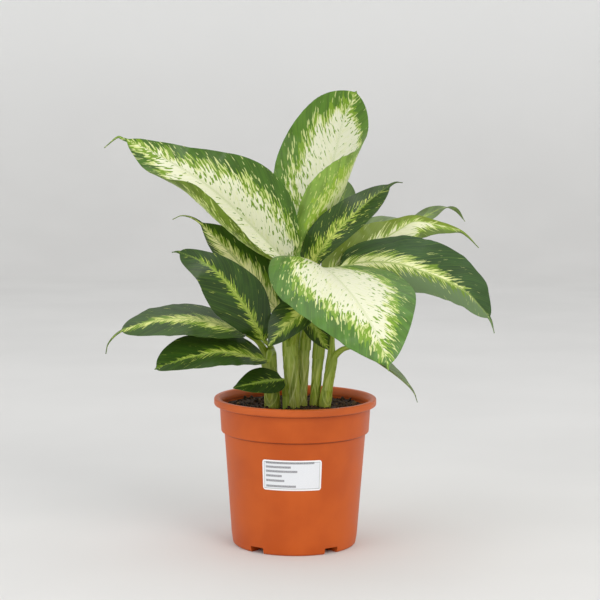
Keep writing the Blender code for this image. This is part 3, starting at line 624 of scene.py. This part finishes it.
def build_label():
    """Rounded paper wrapped on the tapered body, with a thin rounded edge"""
    columns, rows = 97, 21
    count = columns * rows
    line = np.linspace(-1, 1, columns) * LABEL_WIDTH / 2
    corner = np.clip(np.abs(line) - (LABEL_WIDTH / 2 - LABEL_CORNER), 0, LABEL_CORNER)
    half = LABEL_HEIGHT / 2 - LABEL_CORNER + np.sqrt(LABEL_CORNER**2 - corner**2)
    share = np.tile(np.linspace(-1, 1, rows), columns)
    across, up = np.repeat(line, rows), np.repeat(half, rows) * share
    height = LABEL_MIDDLE + up
    turn = math.radians(LABEL_TURN - 90.0) + across / body_radius(LABEL_MIDDLE)
    border = np.maximum(np.abs(across) / (LABEL_WIDTH / 2), np.abs(share)) > 0.999
    layers = []
    for lift in (GAP, GAP + LABEL_THICKNESS - 0.12 * border):
        radius = body_radius(height) + lift
        layers.append(np.stack([radius * np.cos(turn), radius * np.sin(turn), height], 1))
    grid = np.arange(count).reshape(columns, rows)
    faces = []
    for a in grid[:-1, :-1].ravel().tolist():
        b = a + rows
        faces += [(a, a + 1, b + 1, b), (a + count, b + count, b + count + 1, a + count + 1)]
    rim = np.concatenate([grid[:, 0], grid[-1, 1:], grid[-2::-1, -1], grid[0, -2:0:-1]]).tolist()
    faces += [(a, b, b + count, a + count) for a, b in zip(rim, rim[1:] + rim[:1])]
    mesh = solid_mesh("label", np.concatenate(layers), faces)
    store(mesh, "sheet", np.tile(np.stack([across, up, 0 * up], 1), (2, 1)), "FLOAT_VECTOR")
    add_piece("paper_label", mesh, [paper()], "pot_label", 50)


# Soil

def soil_height(x, y):
    swells = ((14.0, 3.0), (6.0, 8.0), (2.6, 15.0), (1.2, 21.0))
    broad, small, lumps, grains = (noise.noise(Vector((x / size, y / size, level)))
                                   for size, level in swells)
    return SOIL_LEVEL + SOIL_UNEVEN * (broad + 0.6 * small + 0.7 * lumps + 0.35 * grains)


def peat():
    """Dark damp peat; the loose bits are paler by their stored tone"""
    paint = Paint("peat", 0.25)
    place = paint.place()
    grain = paint.noise(place, (0.55, 0.55, 0.55), 5.0, 0.7)
    damp = paint.noise(place, (0.09, 0.09, 0.09))
    dark = paint.tint((24, 17, 11), (76, 53, 35), grain, 0.35, 0.7)
    dark = paint.tint(dark, (40, 26, 16), damp, 0.4, 0.6, 0.0, 0.4)
    chaff = paint.tint((104, 78, 52), (150, 122, 88), grain, 0.3, 0.7)
    body = paint.mix(paint.stored("tone"), dark, chaff)
    return paint.finish(body, paint.step(damp, 0.35, 0.65, 0.95, 0.7), grain, 0.4)


def add_lump(shape, tone, chance, edge):
    """A lump or splinter of peat or chaff"""
    size = 0.5 + 1.5 * chance.random() ** 2.5
    radius = edge * math.sqrt(chance.random())
    angle = 2 * math.pi * chance.random()
    x, y = radius * math.cos(angle), radius * math.sin(angle)
    flat = 0.5 + 0.5 * chance.random()
    longer = 1.0 + 1.6 * chance.random() ** 3
    turn = Euler(chance.random(3) * 2 * math.pi).to_matrix().to_4x4()
    pale = 0.12 * chance.random() if chance.random() < 0.86 else 0.4 + 0.6 * chance.random()
    place = (Matrix.Translation((mm(x), mm(y), mm(soil_height(x, y) + 0.25 * size))) @ turn
             @ Matrix.Diagonal((mm(size * longer), mm(size), mm(size * flat), 1.0)))
    made = bmesh.ops.create_icosphere(shape, subdivisions=1, radius=1.0, matrix=place)
    for vert in made["verts"]:
        swell = 1.0 + 0.35 * noise.noise(vert.co * 900.0)
        vert.co = place.translation + (vert.co - place.translation) * swell
        vert[tone] = pale


def add_fibre(shape, tone, chance, edge):
    """A thin bowed fibre, square in section"""
    length = 4.0 + 9.0 * chance.random()
    radius = (edge - length / 2) * math.sqrt(chance.random())
    angle, heading = 2 * math.pi * chance.random(), 2 * math.pi * chance.random()
    middle = radius * np.array([math.cos(angle), math.sin(angle)])
    ahead = np.array([math.cos(heading), math.sin(heading)])
    aside = np.array([-ahead[1], ahead[0]])
    bow, tilt, pale = chance.random(3) - 0.5
    rings = []
    for u in np.linspace(-0.5, 0.5, 7):
        spot = middle + ahead * u * length + aside * bow * 3.0 * (0.25 - u * u)
        high = max(soil_height(*spot) + 0.15, SOIL_LEVEL + tilt * u * 4.0)
        thick = 0.18 * (1.2 - abs(u))
        rings.append([shape.verts.new((*(spot + aside * thick * a) / 1000.0, mm(high + thick * b)))
                      for a, b in ((-1, 0), (0, 1), (1, 0), (0, -1))])
        for vert in rings[-1]:
            vert[tone] = 0.6 + 0.6 * pale
    for near, far in zip(rings, rings[1:]):
        for j in range(4):
            shape.faces.new((near[j], near[(j + 1) % 4], far[(j + 1) % 4], far[j]))
    shape.faces.new(rings[0][::-1])
    shape.faces.new(rings[-1])


def add_crumbs(shape):
    """What lies loose on the soil, kept inside the pot"""
    tone = shape.verts.layers.float.new("tone")
    chance = np.random.default_rng(SOIL_SEED)
    edge = inner_wall()[2][0] - 2.0
    for _ in range(CRUMBS):
        add_lump(shape, tone, chance, edge)
    for _ in range(FIBRES):
        add_fibre(shape, tone, chance, edge)


def build_soil():
    radii, heights = zip(*inner_wall())
    shoulder = SOIL_LEVEL - SOIL_SHOULDER
    edge = np.interp(shoulder, heights, radii) - GAP
    rings = [circle(radius, SOIL_LEVEL, SOIL_STEPS) for radius in np.linspace(0.9, edge - 1.0, 64)]
    for ring in rings:
        ring[:, 2] = [soil_height(x, y) for x, y in ring[:, :2]]
    side = [(edge, shoulder), *[(r - GAP, z + GAP / 2) for r, z in reversed(inner_wall()[1:3])],
            (radii[0] - GAP, FLOOR + GAP)]
    rings += [circle(radius, height, SOIL_STEPS) for radius, height in side]
    points, faces = capped(rings, (0, 0, soil_height(0, 0)), (0, 0, FLOOR + GAP))
    add_piece("potting_soil", solid_mesh("peat", points, faces, add_crumbs), [peat()], "soil", 60)


# Canes

def bend(a, b, c, d, u):
    return 0.5 * (2 * b + (c - a) * u + (2 * a - 5 * b + 4 * c - d) * u**2
                  + (3 * b - a - 3 * c + d) * u**3)


def smooth_curve(points, shares):
    points = np.array(points, float)
    ends = [2 * points[0] - points[1], *points, 2 * points[-1] - points[-2]]
    fine = [bend(*four, u) for four in zip(ends, ends[1:], ends[2:], ends[3:])
            for u in np.linspace(0, 1, 12, endpoint=False)]
    fine = np.array(fine + [points[-1]])
    length = np.concatenate([[0], np.cumsum(np.linalg.norm(np.diff(fine, axis=0), axis=1))])
    return np.stack([np.interp(shares, length / length[-1], fine[:, k]) for k in range(3)], 1)


def curve_length(points):
    fine = smooth_curve(points, np.linspace(0, 1, 200))
    return float(np.linalg.norm(np.diff(fine, axis=0), axis=1).sum())


def along(values, shares):
    values = np.atleast_1d(np.array(values, float))
    if len(values) == 1:
        return np.full(len(shares), values[0])
    place = shares * (len(values) - 1)
    k = np.minimum(place.astype(int), len(values) - 2)
    ends = np.concatenate([[2 * values[0] - values[1]], values, [2 * values[-1] - values[-2]]])
    return bend(ends[k], ends[k + 1], ends[k + 2], ends[k + 3], place - k)


def directions(points, shares):
    ahead, behind = (smooth_curve(points, np.clip(shares + step, 0, 1)) for step in (0.001, -0.001))
    return unit(ahead - behind)


def cane_line(cane):
    return np.array([*cane["foot"], SOIL_LEVEL + CANE_COLLAR]), np.array(cane["top"], float)


def cane_seats(name):
    return [math.radians(leaf["seat"]) for leaf in LEAVES.values()
            if leaf["cane"] == name and "seat" in leaf]


def apart(angles, seat):
    """How far each angle is from the seat, whichever way round is shorter"""
    return np.abs((angles - seat + math.pi) % (2 * math.pi) - math.pi)


def sheaths(name, angles, share):
    """How many leaf bases wrap the cane at each angle, and how near the free edge of one is"""
    layers, near = np.zeros(len(angles)), np.zeros(len(angles))
    seats = cane_seats(name)
    for k in range(SHEATHS):
        seat = seats[k % len(seats)] + 2.1 * (k // len(seats)) + 0.35 * k
        inside = math.pi * (1.12 - 0.85 * share**(0.45 + 0.5 * k)) - apart(angles, seat)
        layers += smooth(inside, -0.2, 0.2)
        near = np.maximum(near, np.exp(-((inside + 0.1) / 0.3)**2))
    return layers, near


def cane_skin(name, seed):
    """Olive sheaths with pale edges and long streaks, browner at the foot; painted shade in the creases
    """
    paint = Paint(name + "_skin", 0.45)
    flow = paint.stored("flow", "Vector")
    share = paint.parts(flow)[2]
    crease = paint.stored("crease")
    broad = paint.noise(flow, (0.28, 0.03, 0.0), 1.0, shift=(seed, seed, 0.0))
    fine = paint.noise(flow, (1.3, 0.07, 0.0), 3.0, 0.6, (seed, 2 * seed, 0.0))
    deep, light, streaks = CANE_TINTS.get(name, CANE_TINTS["others"])
    body = paint.tint(deep, light, broad, 0.35, 0.62)
    body = paint.tint(body, streaks, fine, 0.46, 0.7, 0.0, 0.75)
    body = paint.tint(body, (84, 104, 16), fine, 0.46, 0.25, 0.0, 0.5)
    pale_edge = paint.math("MULTIPLY", paint.step(crease, 0.05, 0.25, 0.0, 0.7),
                           paint.step(crease, 0.6, 0.3))
    body = paint.mix(pale_edge, body, streaks)
    # painted shade: darker deep in the creases between the lobes
    body = paint.tint(body, (72, 92, 12), crease, 0.5, 1.0, 0.0, 0.3)
    stalk = paint.tint(*STALK_TINTS, fine, 0.35, 0.7)
    body = paint.tint(body, stalk, share, 0.45, 0.97, 0.0, 0.92)
    body = paint.tint(body, (132, 118, 58), share, 0.0, 0.2, 0.3, 0.0)
    return paint.finish(body, paint.step(fine, 0.3, 0.7, 0.38, 0.52), fine, 0.12)


def build_cane(name, cane, seed):
    """A stem of clasping sheaths: round in the soil, lobed towards its top under each petiole"""
    collar, top = cane_line(cane)
    foot = np.array([*cane["foot"], SOIL_LEVEL - CANE_SUNK])
    axis = unit(top - collar)
    length = float(np.linalg.norm(top - collar))
    shares = np.linspace(0, 1, CANE_STATIONS)
    radii = along(cane["radii"], shares)
    for joint in CANE_JOINTS:
        radii = radii + CANE_SWELL * np.exp(-((shares - joint) / 0.03)**2)
    angles = np.linspace(0, 2 * math.pi, CANE_SIDES, endpoint=False)
    lobes = np.zeros(CANE_SIDES)
    for seat in cane_seats(name):
        lobes = np.maximum(lobes, np.exp(-(apart(angles, seat) / 0.75)**2))
    dips = 0.05 + 0.22 * shares**1.5
    first = unit(np.cross([0.0, 1.0, 0.0], axis))
    spread = np.outer(np.cos(angles), first) + np.outer(np.sin(angles), np.cross(axis, first))
    rings, flow, crease = [], [], []
    stations = zip(collar + np.outer(shares, top - collar), radii, dips, shares)
    for place, size, dip, share in [(foot, 0.98 * radii[0], dips[0], 0.0), *stations]:
        layers, near = sheaths(name, angles, share)
        out = size * (1 - dip * (1 - lobes)) + SHEATH_STEP * (layers - SHEATHS / 2)
        rings.append(place + spread * out[:, None])
        flow.append([(angle * cane["radii"][0], share * length, share) for angle in angles])
        # how deep a point lies in a crease between lobes, which the skin darkens as painted shade, or
        # how near a sheath's free edge is
        crease.append(np.maximum(0.6 * (1 - lobes)**2 * share, near))
    for u in np.linspace(0, math.pi / 2, CANE_CAP_RINGS + 2)[1:-1]:
        rings.append(top + axis * CANE_CAP * math.sin(u) + spread * (out * math.cos(u))[:, None])
    flow += flow[-1:] * CANE_CAP_RINGS + [[(0.0, 0.0, 0.0), (0.0, length, 1.0)]]
    crease += crease[-1:] * CANE_CAP_RINGS + [np.zeros(2)]
    mesh = solid_mesh(name, *capped(rings, foot, top + axis * CANE_CAP))
    store(mesh, "flow", np.concatenate(flow), "FLOAT_VECTOR")
    store(mesh, "crease", np.concatenate(crease))
    add_piece(name.replace("cane", "stem"), mesh, [cane_skin(name, seed)], name)


# Leaves

def stalk_radius(leaf):
    return leaf.get("stalk", STALK_RADIUS)


def leaf_start(leaf):
    cane = CANES[leaf["cane"]]
    collar, top = cane_line(cane)
    axis = unit(top - collar)
    if "start" in leaf:
        return np.array(leaf["start"]), axis
    angle = math.radians(leaf["seat"])
    outward = square_to(axis, np.array([math.cos(angle), math.sin(angle), 0.0]))
    spread = cane["radii"][-1] - stalk_radius(leaf) - CLEARANCE
    return top + outward * spread + axis * GAP, axis


def blade_profile(shares, tail, belly, sharp):
    share = np.clip(shares / (1 - tail), 0, 1)
    widest = belly / (belly + sharp)
    return share**belly * (1 - share)**sharp / (widest**belly * (1 - widest)**sharp)


def half_width(leaf, key, shares):
    tail = leaf.get("tail", 0.1)
    outline = blade_profile(shares, tail, leaf.get("belly", 0.6), leaf.get("sharp", 0.9))
    slim = TAIL_RADIUS * np.clip((1 - shares) / tail, TAIL_END, 1)
    return np.sqrt((along(leaf[key]["width"], shares) * outline)**2 + slim**2)


def half_blade(leaf, look, side, shares, across, length, seed):
    """Where one half lies and its paint's coordinates, for each share of the way across"""
    key = "left" if side < 0 else "right"
    half = leaf[key]
    width = half_width(leaf, key, shares)
    fold = np.radians(along(half.get("fold", 0), shares))
    curl = np.radians(along(half.get("curl", 0), shares))
    curl = np.where(np.abs(curl) < 0.001, 0.001, curl)
    lift = along(half.get("wave", 0), shares) * np.sqrt(4 * shares * (1 - shares))
    lift = lift * np.sin(2 * math.pi * (half.get("waves", 3) * shares + half.get("phase", 0)))
    lobe = leaf.get("lobe", 0) * np.exp(-shares / LOBE_REACH)
    ends = smooth(shares, 0.02, 0.15) * smooth(1 - shares, 0.02, 0.2)
    ends = ends * np.minimum(width / 20.0, 1.0)
    ripple = [noise.noise(Vector((length * t / 13.0, side * 7.0, seed)))
              + 0.5 * noise.noise(Vector((length * t / 6.0, side * 7.0, seed + 5.0))) for t in shares]
    ripple = np.array(ripple) * look.get("crimp", CRIMP) * ends
    rows = []
    for s in across:
        slope = fold + curl * s
        sideways = width * (np.sin(slope) - np.sin(fold)) / curl
        vein = length * shares - VEIN_LEAN * s * width - VEIN_CURVE * s * s * width
        quilt = QUILT * np.sin(2 * math.pi * vein / VEIN_SPACING) * 4 * s * (1 - s) * ends
        up = width * (np.cos(fold) - np.cos(slope)) / curl + (lift + ripple) * s**2
        depth = (along(look[key], shares) - s) * np.maximum(width, 6.0)
        rows.append(dict(sideways=side * sideways, up=up, back=lobe * s**2, slope=side * slope,
                         quilt=quilt, depth=depth, vein=vein + side * 500.0, out=s * width))
    return rows


def middle_row(leaf, look, shares, length):
    none = 0 * shares
    reach, width = (sum(pair) / 2 for pair in zip(*[
        (along(look[key], shares), half_width(leaf, key, shares)) for key in ("left", "right")]))
    return dict(sideways=none, up=none, back=none, slope=none, quilt=none,
                depth=reach * np.maximum(width, 6.0), vein=length * shares, out=none)


def round_ring(centre, right, up, radius, turns):
    top, bottom = ([centre + radius * (right * math.sin(a) + up * side * math.cos(a)) for a in turns]
                   for side in (1, -1))
    return np.array(top + bottom[::-1])


def petiole_rings(leaf, end_direction, end_up, turns):
    """Rings from the cane, where the foot flares and sinks in, to the blade, and the length"""
    start, start_direction = leaf_start(leaf)
    points = [start, start + STALK_RISE * start_direction, *leaf["petiole"], leaf["rib"][0]]
    shares = np.linspace(0, 1, PETIOLE_STATIONS)
    places = smooth_curve(points, shares)
    ahead = directions(points, shares)
    ahead[0], ahead[-1] = start_direction, end_direction
    stalk = stalk_radius(leaf)
    length = curve_length(points)
    outward = square_to(start_direction, start - cane_line(CANES[leaf["cane"]])[1])
    rings, up = [], end_up
    for place, forward, share in reversed(list(zip(places, ahead, shares))):
        up = square_to(forward, up)
        flare = FOOT_FLARE * stalk * math.exp(-(share * length / FOOT_REACH)**2)
        radius = stalk + (PETIOLE_RADIUS - stalk) * share + flare
        drop = (PETIOLE_RADIUS - BLADE_THICKNESS / 2) * max(0, 3 * share - 2)
        centre = place - up * drop - outward * flare
        rings.append(round_ring(centre, np.cross(forward, up), up, radius, turns))
    rings.append(rings[-1] - start_direction * (FOOT_SUNK if "seat" in leaf else STEM_SUNK))
    return np.array(rings[::-1]), length


def blend(first, second, share):
    """The colour this share of the way from the first to the second"""
    return tuple((1 - share) * a + share * b for a, b in zip(first, second))


def leaf_masks(paint, flow, look, shift, seed):
    """How deep a point lies in the frayed cream and in its fringe, the cream's cover, a mottle"""
    feather, run, thick = look["feather"], look.get("run", 0.28), look.get("fleck", 1.0)
    depth = paint.stored("depth")

    def grain(size, detail, shift, roughness=0.5):
        """Noise of this size in millimetres, drawn out along the veins"""
        size = size * look.get("coarse", 1.0)
        return paint.noise(flow, (1.0 / size, run / size, 0.0), detail, roughness, shift)

    def frayed(edge, shift, *swings):
        """The edge swayed by noise, of each size mostly within its reach in feathers"""
        for size, reach in swings:
            sway = paint.math("SUBTRACT", grain(size, 1.0, shift), 0.5)
            edge = paint.math("ADD", edge, paint.math("MULTIPLY", sway, 3.0 * reach * feather))
        return edge

    edge = frayed(depth, shift, (17.0, look.get("wide", 0.3)), (8.0, 0.55), (3.6, 0.55), (1.6, 0.35))
    fringe = frayed(paint.math("ADD", depth, 0.35 * feather), (seed * 2.9, seed * 1.9, 0.0),
                    (9.0, 0.5), (4.2, 0.55), (1.9, 0.4))
    speck = grain(1.8, 1.5, shift)
    rare = paint.step(edge, 0.0, 1.7 * feather, 0.545 - 0.02 * thick, 0.70 - 0.03 * thick)
    clear = paint.step(paint.math("SUBTRACT", speck, rare), 0.0, 0.035, 1.0, 0.0)
    rare = paint.step(edge, -1.1 * feather, 0.0, 0.30 + 0.02 * thick, 0.45 + 0.02 * thick)
    in_green = paint.step(paint.math("SUBTRACT", rare, speck), 0.0, 0.035, 0.0, 0.85)
    cream = paint.math("MULTIPLY", paint.step(edge, -0.4, 0.5), clear)
    cream = paint.math("MAXIMUM", cream, in_green)
    return edge, fringe, cream, grain(2.4, 3.0, (seed, 0.0, 4.0), 0.65)


def leaf_paint(name, look, under, seed):
    """Cream broken into feathers and flecks along the veins, inside a green margin"""
    paint = Paint(name + ("_under" if under else "_top"), 0.35)
    flow = paint.stored("flow", "Vector")
    vein, out, share = paint.parts(flow)
    shift = (seed * 3.7, seed * 1.3, 0.0)
    edge, fringe, cream, mottle = leaf_masks(paint, flow, look, shift, seed)
    green, pale = look["green"], look["pale"]
    if under:
        green = look.get("under", blend(green, (150, 185, 95), 0.38))
        pale = blend(pale, (190, 204, 120), 0.55)
    bright, yellow = blend(green, (150, 182, 40), 0.65), blend(pale, (200, 214, 100), 0.55)
    tone = paint.noise(flow, (0.1, 0.06, 0.0), shift=shift)
    streak = paint.noise(flow, (0.5, 0.03, 0.0), 3.0, 0.6, shift)
    leafy = paint.tint(blend(green, (0, 0, 0), 0.16), green, tone, 0.35, 0.65)
    # on leaf_05 this half green is painted light shining through the upturned left half
    if "left_green" in look:
        leafy = paint.tint(leafy, look["left_green"], vein, -200.0, -199.0, 0.85, 0.0)
    # on leaf_07 this half green is a painted sheen on the near right half
    if "right_green" in look:
        leafy = paint.tint(leafy, look["right_green"], vein, 199.0, 200.0, 0.0, 0.85)
    leafy = paint.tint(leafy, bright, fringe, -0.6, 0.9, 0.0, 0.85)
    leafy = paint.tint(leafy, bright, streak, 0.5, 0.75, 0.0, 0.3)
    creamy = paint.tint(yellow, pale, edge, 0.0, 0.45 * look["feather"])
    creamy = paint.tint(creamy, yellow, streak, 0.5, 0.8, 0.0, 0.35)
    creamy = paint.tint(creamy, yellow, mottle, 0.52, 0.66, 0.0, 0.45)
    body = paint.mix(cream, leafy, creamy)
    line = paint.away(paint.math("FRACT", paint.math("DIVIDE", vein, VEIN_SPACING)), 0.25)
    body = paint.tint(body, bright, line, 0.03, 0.07, 0.1, 0.0)
    rib = paint.math("MULTIPLY", paint.step(out, 0.25, 1.1, look.get("rib", 0.7), 0.0),
                     paint.step(share, 0.5, 0.95, 1.0, 0.15))
    body = paint.mix(rib, body, blend(bright, (200, 212, 134), 0.5))
    stalk = paint.tint(*STALK_TINTS, streak, 0.35, 0.7)
    body = paint.tint(body, stalk, share, 0.0, 0.03, 1.0, 0.0)
    roughness = paint.step(cream, 0.0, 1.0, 0.46 if under else 0.38, 0.5)
    pores = paint.noise(flow, (1.4, 0.5, 0.0), 3.0, 0.6, shift)
    return paint.finish(body, roughness, pores, 0.05)


def leaf_spine(leaf, shares):
    """The midrib's points, and the directions ahead, up and right at each"""
    ahead = directions(leaf["rib"], shares)
    face = np.stack([along([normal[k] for normal in leaf["face"]], shares) for k in range(3)], 1)
    up = square_to(ahead, face)
    return smooth_curve(leaf["rib"], shares), ahead, up, np.cross(ahead, up)


def blade_rings(rows, shares, spine, turns):
    """Rings over the blade's top and back under it, round like the petiole where they begin"""
    rib, ahead, up, right = spine
    ridge = (2 * PETIOLE_RADIUS - LEAF_THICKNESS) * (1 - shares)**RIDGE_FADE
    groove = 0.35 * (1 - shares)
    rise = (BLADE_THICKNESS - LEAF_THICKNESS) / 2
    top, bottom = [], []
    for row in rows:
        place = (rib + right * row["sideways"][:, None] + up * (row["up"] + rise)[:, None]
                 - ahead * row["back"][:, None])
        normal = up * np.cos(row["slope"])[:, None] - right * np.sin(row["slope"])[:, None]
        near = np.exp(-(row["out"] / 1.5)**2)
        fade = np.exp(-(row["out"] / 14.0)**2)
        thin = MARGIN_THICKNESS + (LEAF_THICKNESS - MARGIN_THICKNESS) * fade
        top.append(place + normal * (thin / 2 + row["quilt"] - groove * near)[:, None])
        bottom.append(place - normal * (thin / 2 - row["quilt"] + ridge * near)[:, None])
    blade = np.stack(top + bottom[::-1], 1)
    for k, weight in enumerate(1 - smooth(shares, 0.0, 0.06)):
        if weight > 0:
            centre = rib[k] - up[k] * (PETIOLE_RADIUS - BLADE_THICKNESS / 2)
            ring = round_ring(centre, right[k], up[k], PETIOLE_RADIUS, turns)
            blade[k] += weight * (ring - blade[k])
    return blade


def leaf_faces(rings, count):
    """Faces of the leaf's skin, closed at both ends, and which of them are its underside"""
    over = count // 2 - 1
    faces = ring_faces(rings, count)
    under = [k % count > over for k in range(len(faces))]
    for ring, order in ((0, 1), (rings - 1, -1)):
        for j in range(over):
            corners = (j, j + 1, count - 2 - j, count - 1 - j)[::order]
            faces.append([ring * count + corner for corner in corners])
            under.append(False)
    return faces, under


def build_leaf(name, leaf, seed):
    """Petiole and blade as one fine skin; the blade's two faces carry different paint"""
    look = {"right": PAINT[name]["left"], **PAINT[name]}
    length = curve_length(leaf["rib"])
    widest = max(leaf["left"]["width"] + leaf["right"]["width"])
    half = 16 if widest >= 25 else 11
    step = np.linspace(0, 1, int(np.clip(length / 1.3, 44, 130)))
    shares = step - 0.1 * np.sin(2 * math.pi * step)
    across = (np.arange(1, half + 1) / half)**1.25
    rows = [*half_blade(leaf, look, -1, shares, across[::-1], length, seed),
            middle_row(leaf, look, shares, length),
            *half_blade(leaf, look, 1, shares, across, length, seed)]
    turns = np.arange(-half, half + 1) / (half + 0.5) * math.pi / 2
    spine = leaf_spine(leaf, shares)
    _, ahead, up, _ = spine
    blade = blade_rings(rows, shares, spine, turns)
    stem, stem_length = petiole_rings(leaf, ahead[0], up[0], turns)
    rings = np.concatenate([stem, blade[1:]])
    count = rings.shape[1]
    flow = np.zeros((len(rings), count, 3))
    depth = np.full((len(rings), count), -3.0)
    for k in range(len(stem)):
        gone = (k / (len(stem) - 1) - 1) * stem_length
        flow[k] = [(j * 0.5, gone, -1.0) for j in range(count)]
    for column, row in enumerate(rows + rows[::-1]):
        flow[len(stem):, column] = np.stack([row["vein"], row["out"], shares], 1)[1:]
        depth[len(stem):, column] = row["depth"][1:]
    faces, under = leaf_faces(len(rings), count)
    mesh = solid_mesh(name, rings.reshape(-1, 3), faces)
    mesh.polygons.foreach_set("material_index", np.array(under, np.int32))
    store(mesh, "flow", flow, "FLOAT_VECTOR")
    store(mesh, "depth", depth)
    skins = [leaf_paint(name, look, below, seed) for below in (False, True)]
    add_piece(name.replace("leaf", "foliage"), mesh, skins, name, 60)


# Studio

def build_floor():
    """A pale round floor that curves up into a wall well outside every view"""
    paint = Paint("studio_floor", 0.2)
    place = paint.place()
    mottle = paint.noise(place, (0.004, 0.004, 0.004))
    low = paint.tint((222, 221, 219), (226, 225, 223), mottle, 0.3, 0.7)
    body = paint.tint(low, (250, 250, 249), paint.parts(place)[2], 0.0, 900.0)
    profile = [(300.0, 0.0), *[(FLOOR_RADIUS + FLOOR_BEND * math.sin(a), FLOOR_BEND * (1 - math.cos(a)))
                               for a in np.linspace(0, math.pi / 2, 12)],
               (FLOOR_RADIUS + FLOOR_BEND, 1500.0)]
    rings = [circle(radius, height, FLOOR_STEPS) for radius, height in profile]
    faces = [face[::-1] for face in ring_faces(len(rings), FLOOR_STEPS)]
    middle = len(rings) * FLOOR_STEPS
    faces += [(middle, k, (k + 1) % FLOOR_STEPS) for k in range(FLOOR_STEPS)]
    mesh = bpy.data.meshes.new("studio")
    mesh.from_pydata((np.concatenate([*rings, [(0, 0, 0)]]) / 1000.0).tolist(), [], faces)
    mesh.materials.append(paint.finish(body, 0.8))
    mesh.shade_smooth()
    floor = link("studio", mesh)


def add_light(name, place, size, power, colour):
    data = bpy.data.lights.new(name, "AREA")
    data.shape = "SQUARE"
    data.size = size
    data.energy = power
    data.color = colour
    light = link(name, data)
    light.location = place
    light.rotation_euler = (Vector(LIT_POINT) - Vector(place)).to_track_quat("-Z", "Y").to_euler()


def build_lights():
    world = bpy.data.worlds.new("studio_air")
    world.use_nodes = True
    air = world.node_tree.nodes["Background"]
    air.inputs["Color"].default_value = (0.98, 0.99, 1.0, 1.0)
    air.inputs["Strength"].default_value = 0.75
    bpy.context.scene.world = world
    add_light("softbox_right", (1.1, -1.4, 1.35), 1.1, 16.2, (1.0, 0.98, 0.95))
    add_light("softbox_left", (-1.4, -1.2, 0.9), 1.2, 8.5, (0.97, 0.98, 1.0))
    add_light("softbox_top", (-0.1, 0.5, 2.2), 1.4, 5.0, (1.0, 1.0, 1.0))
    bpy.context.scene.view_settings.view_transform = "Standard"


def build_camera():
    data = bpy.data.cameras.new("camera")
    data.lens = CAMERA_LENS
    data.sensor_width = 36.0
    data.clip_end = 20.0
    camera = link("camera", data)
    camera.matrix_world = (Matrix.Translation(CAMERA_PLACE)
                           @ Matrix.Rotation(math.radians(90.0 - CAMERA_PITCH), 4, "X")
                           @ Matrix.Rotation(math.radians(CAMERA_ROLL), 4, "Z"))
    bpy.context.scene.camera = camera


build_pot()
build_label()
build_soil()
for number, (title, stem) in enumerate(CANES.items()):
    build_cane(title, stem, 4.0 + 9.0 * number)
for number, (title, growth) in enumerate(LEAVES.items()):
    build_leaf(title, growth, 3.0 + 11.0 * number)
build_floor()
build_lights()
build_camera()
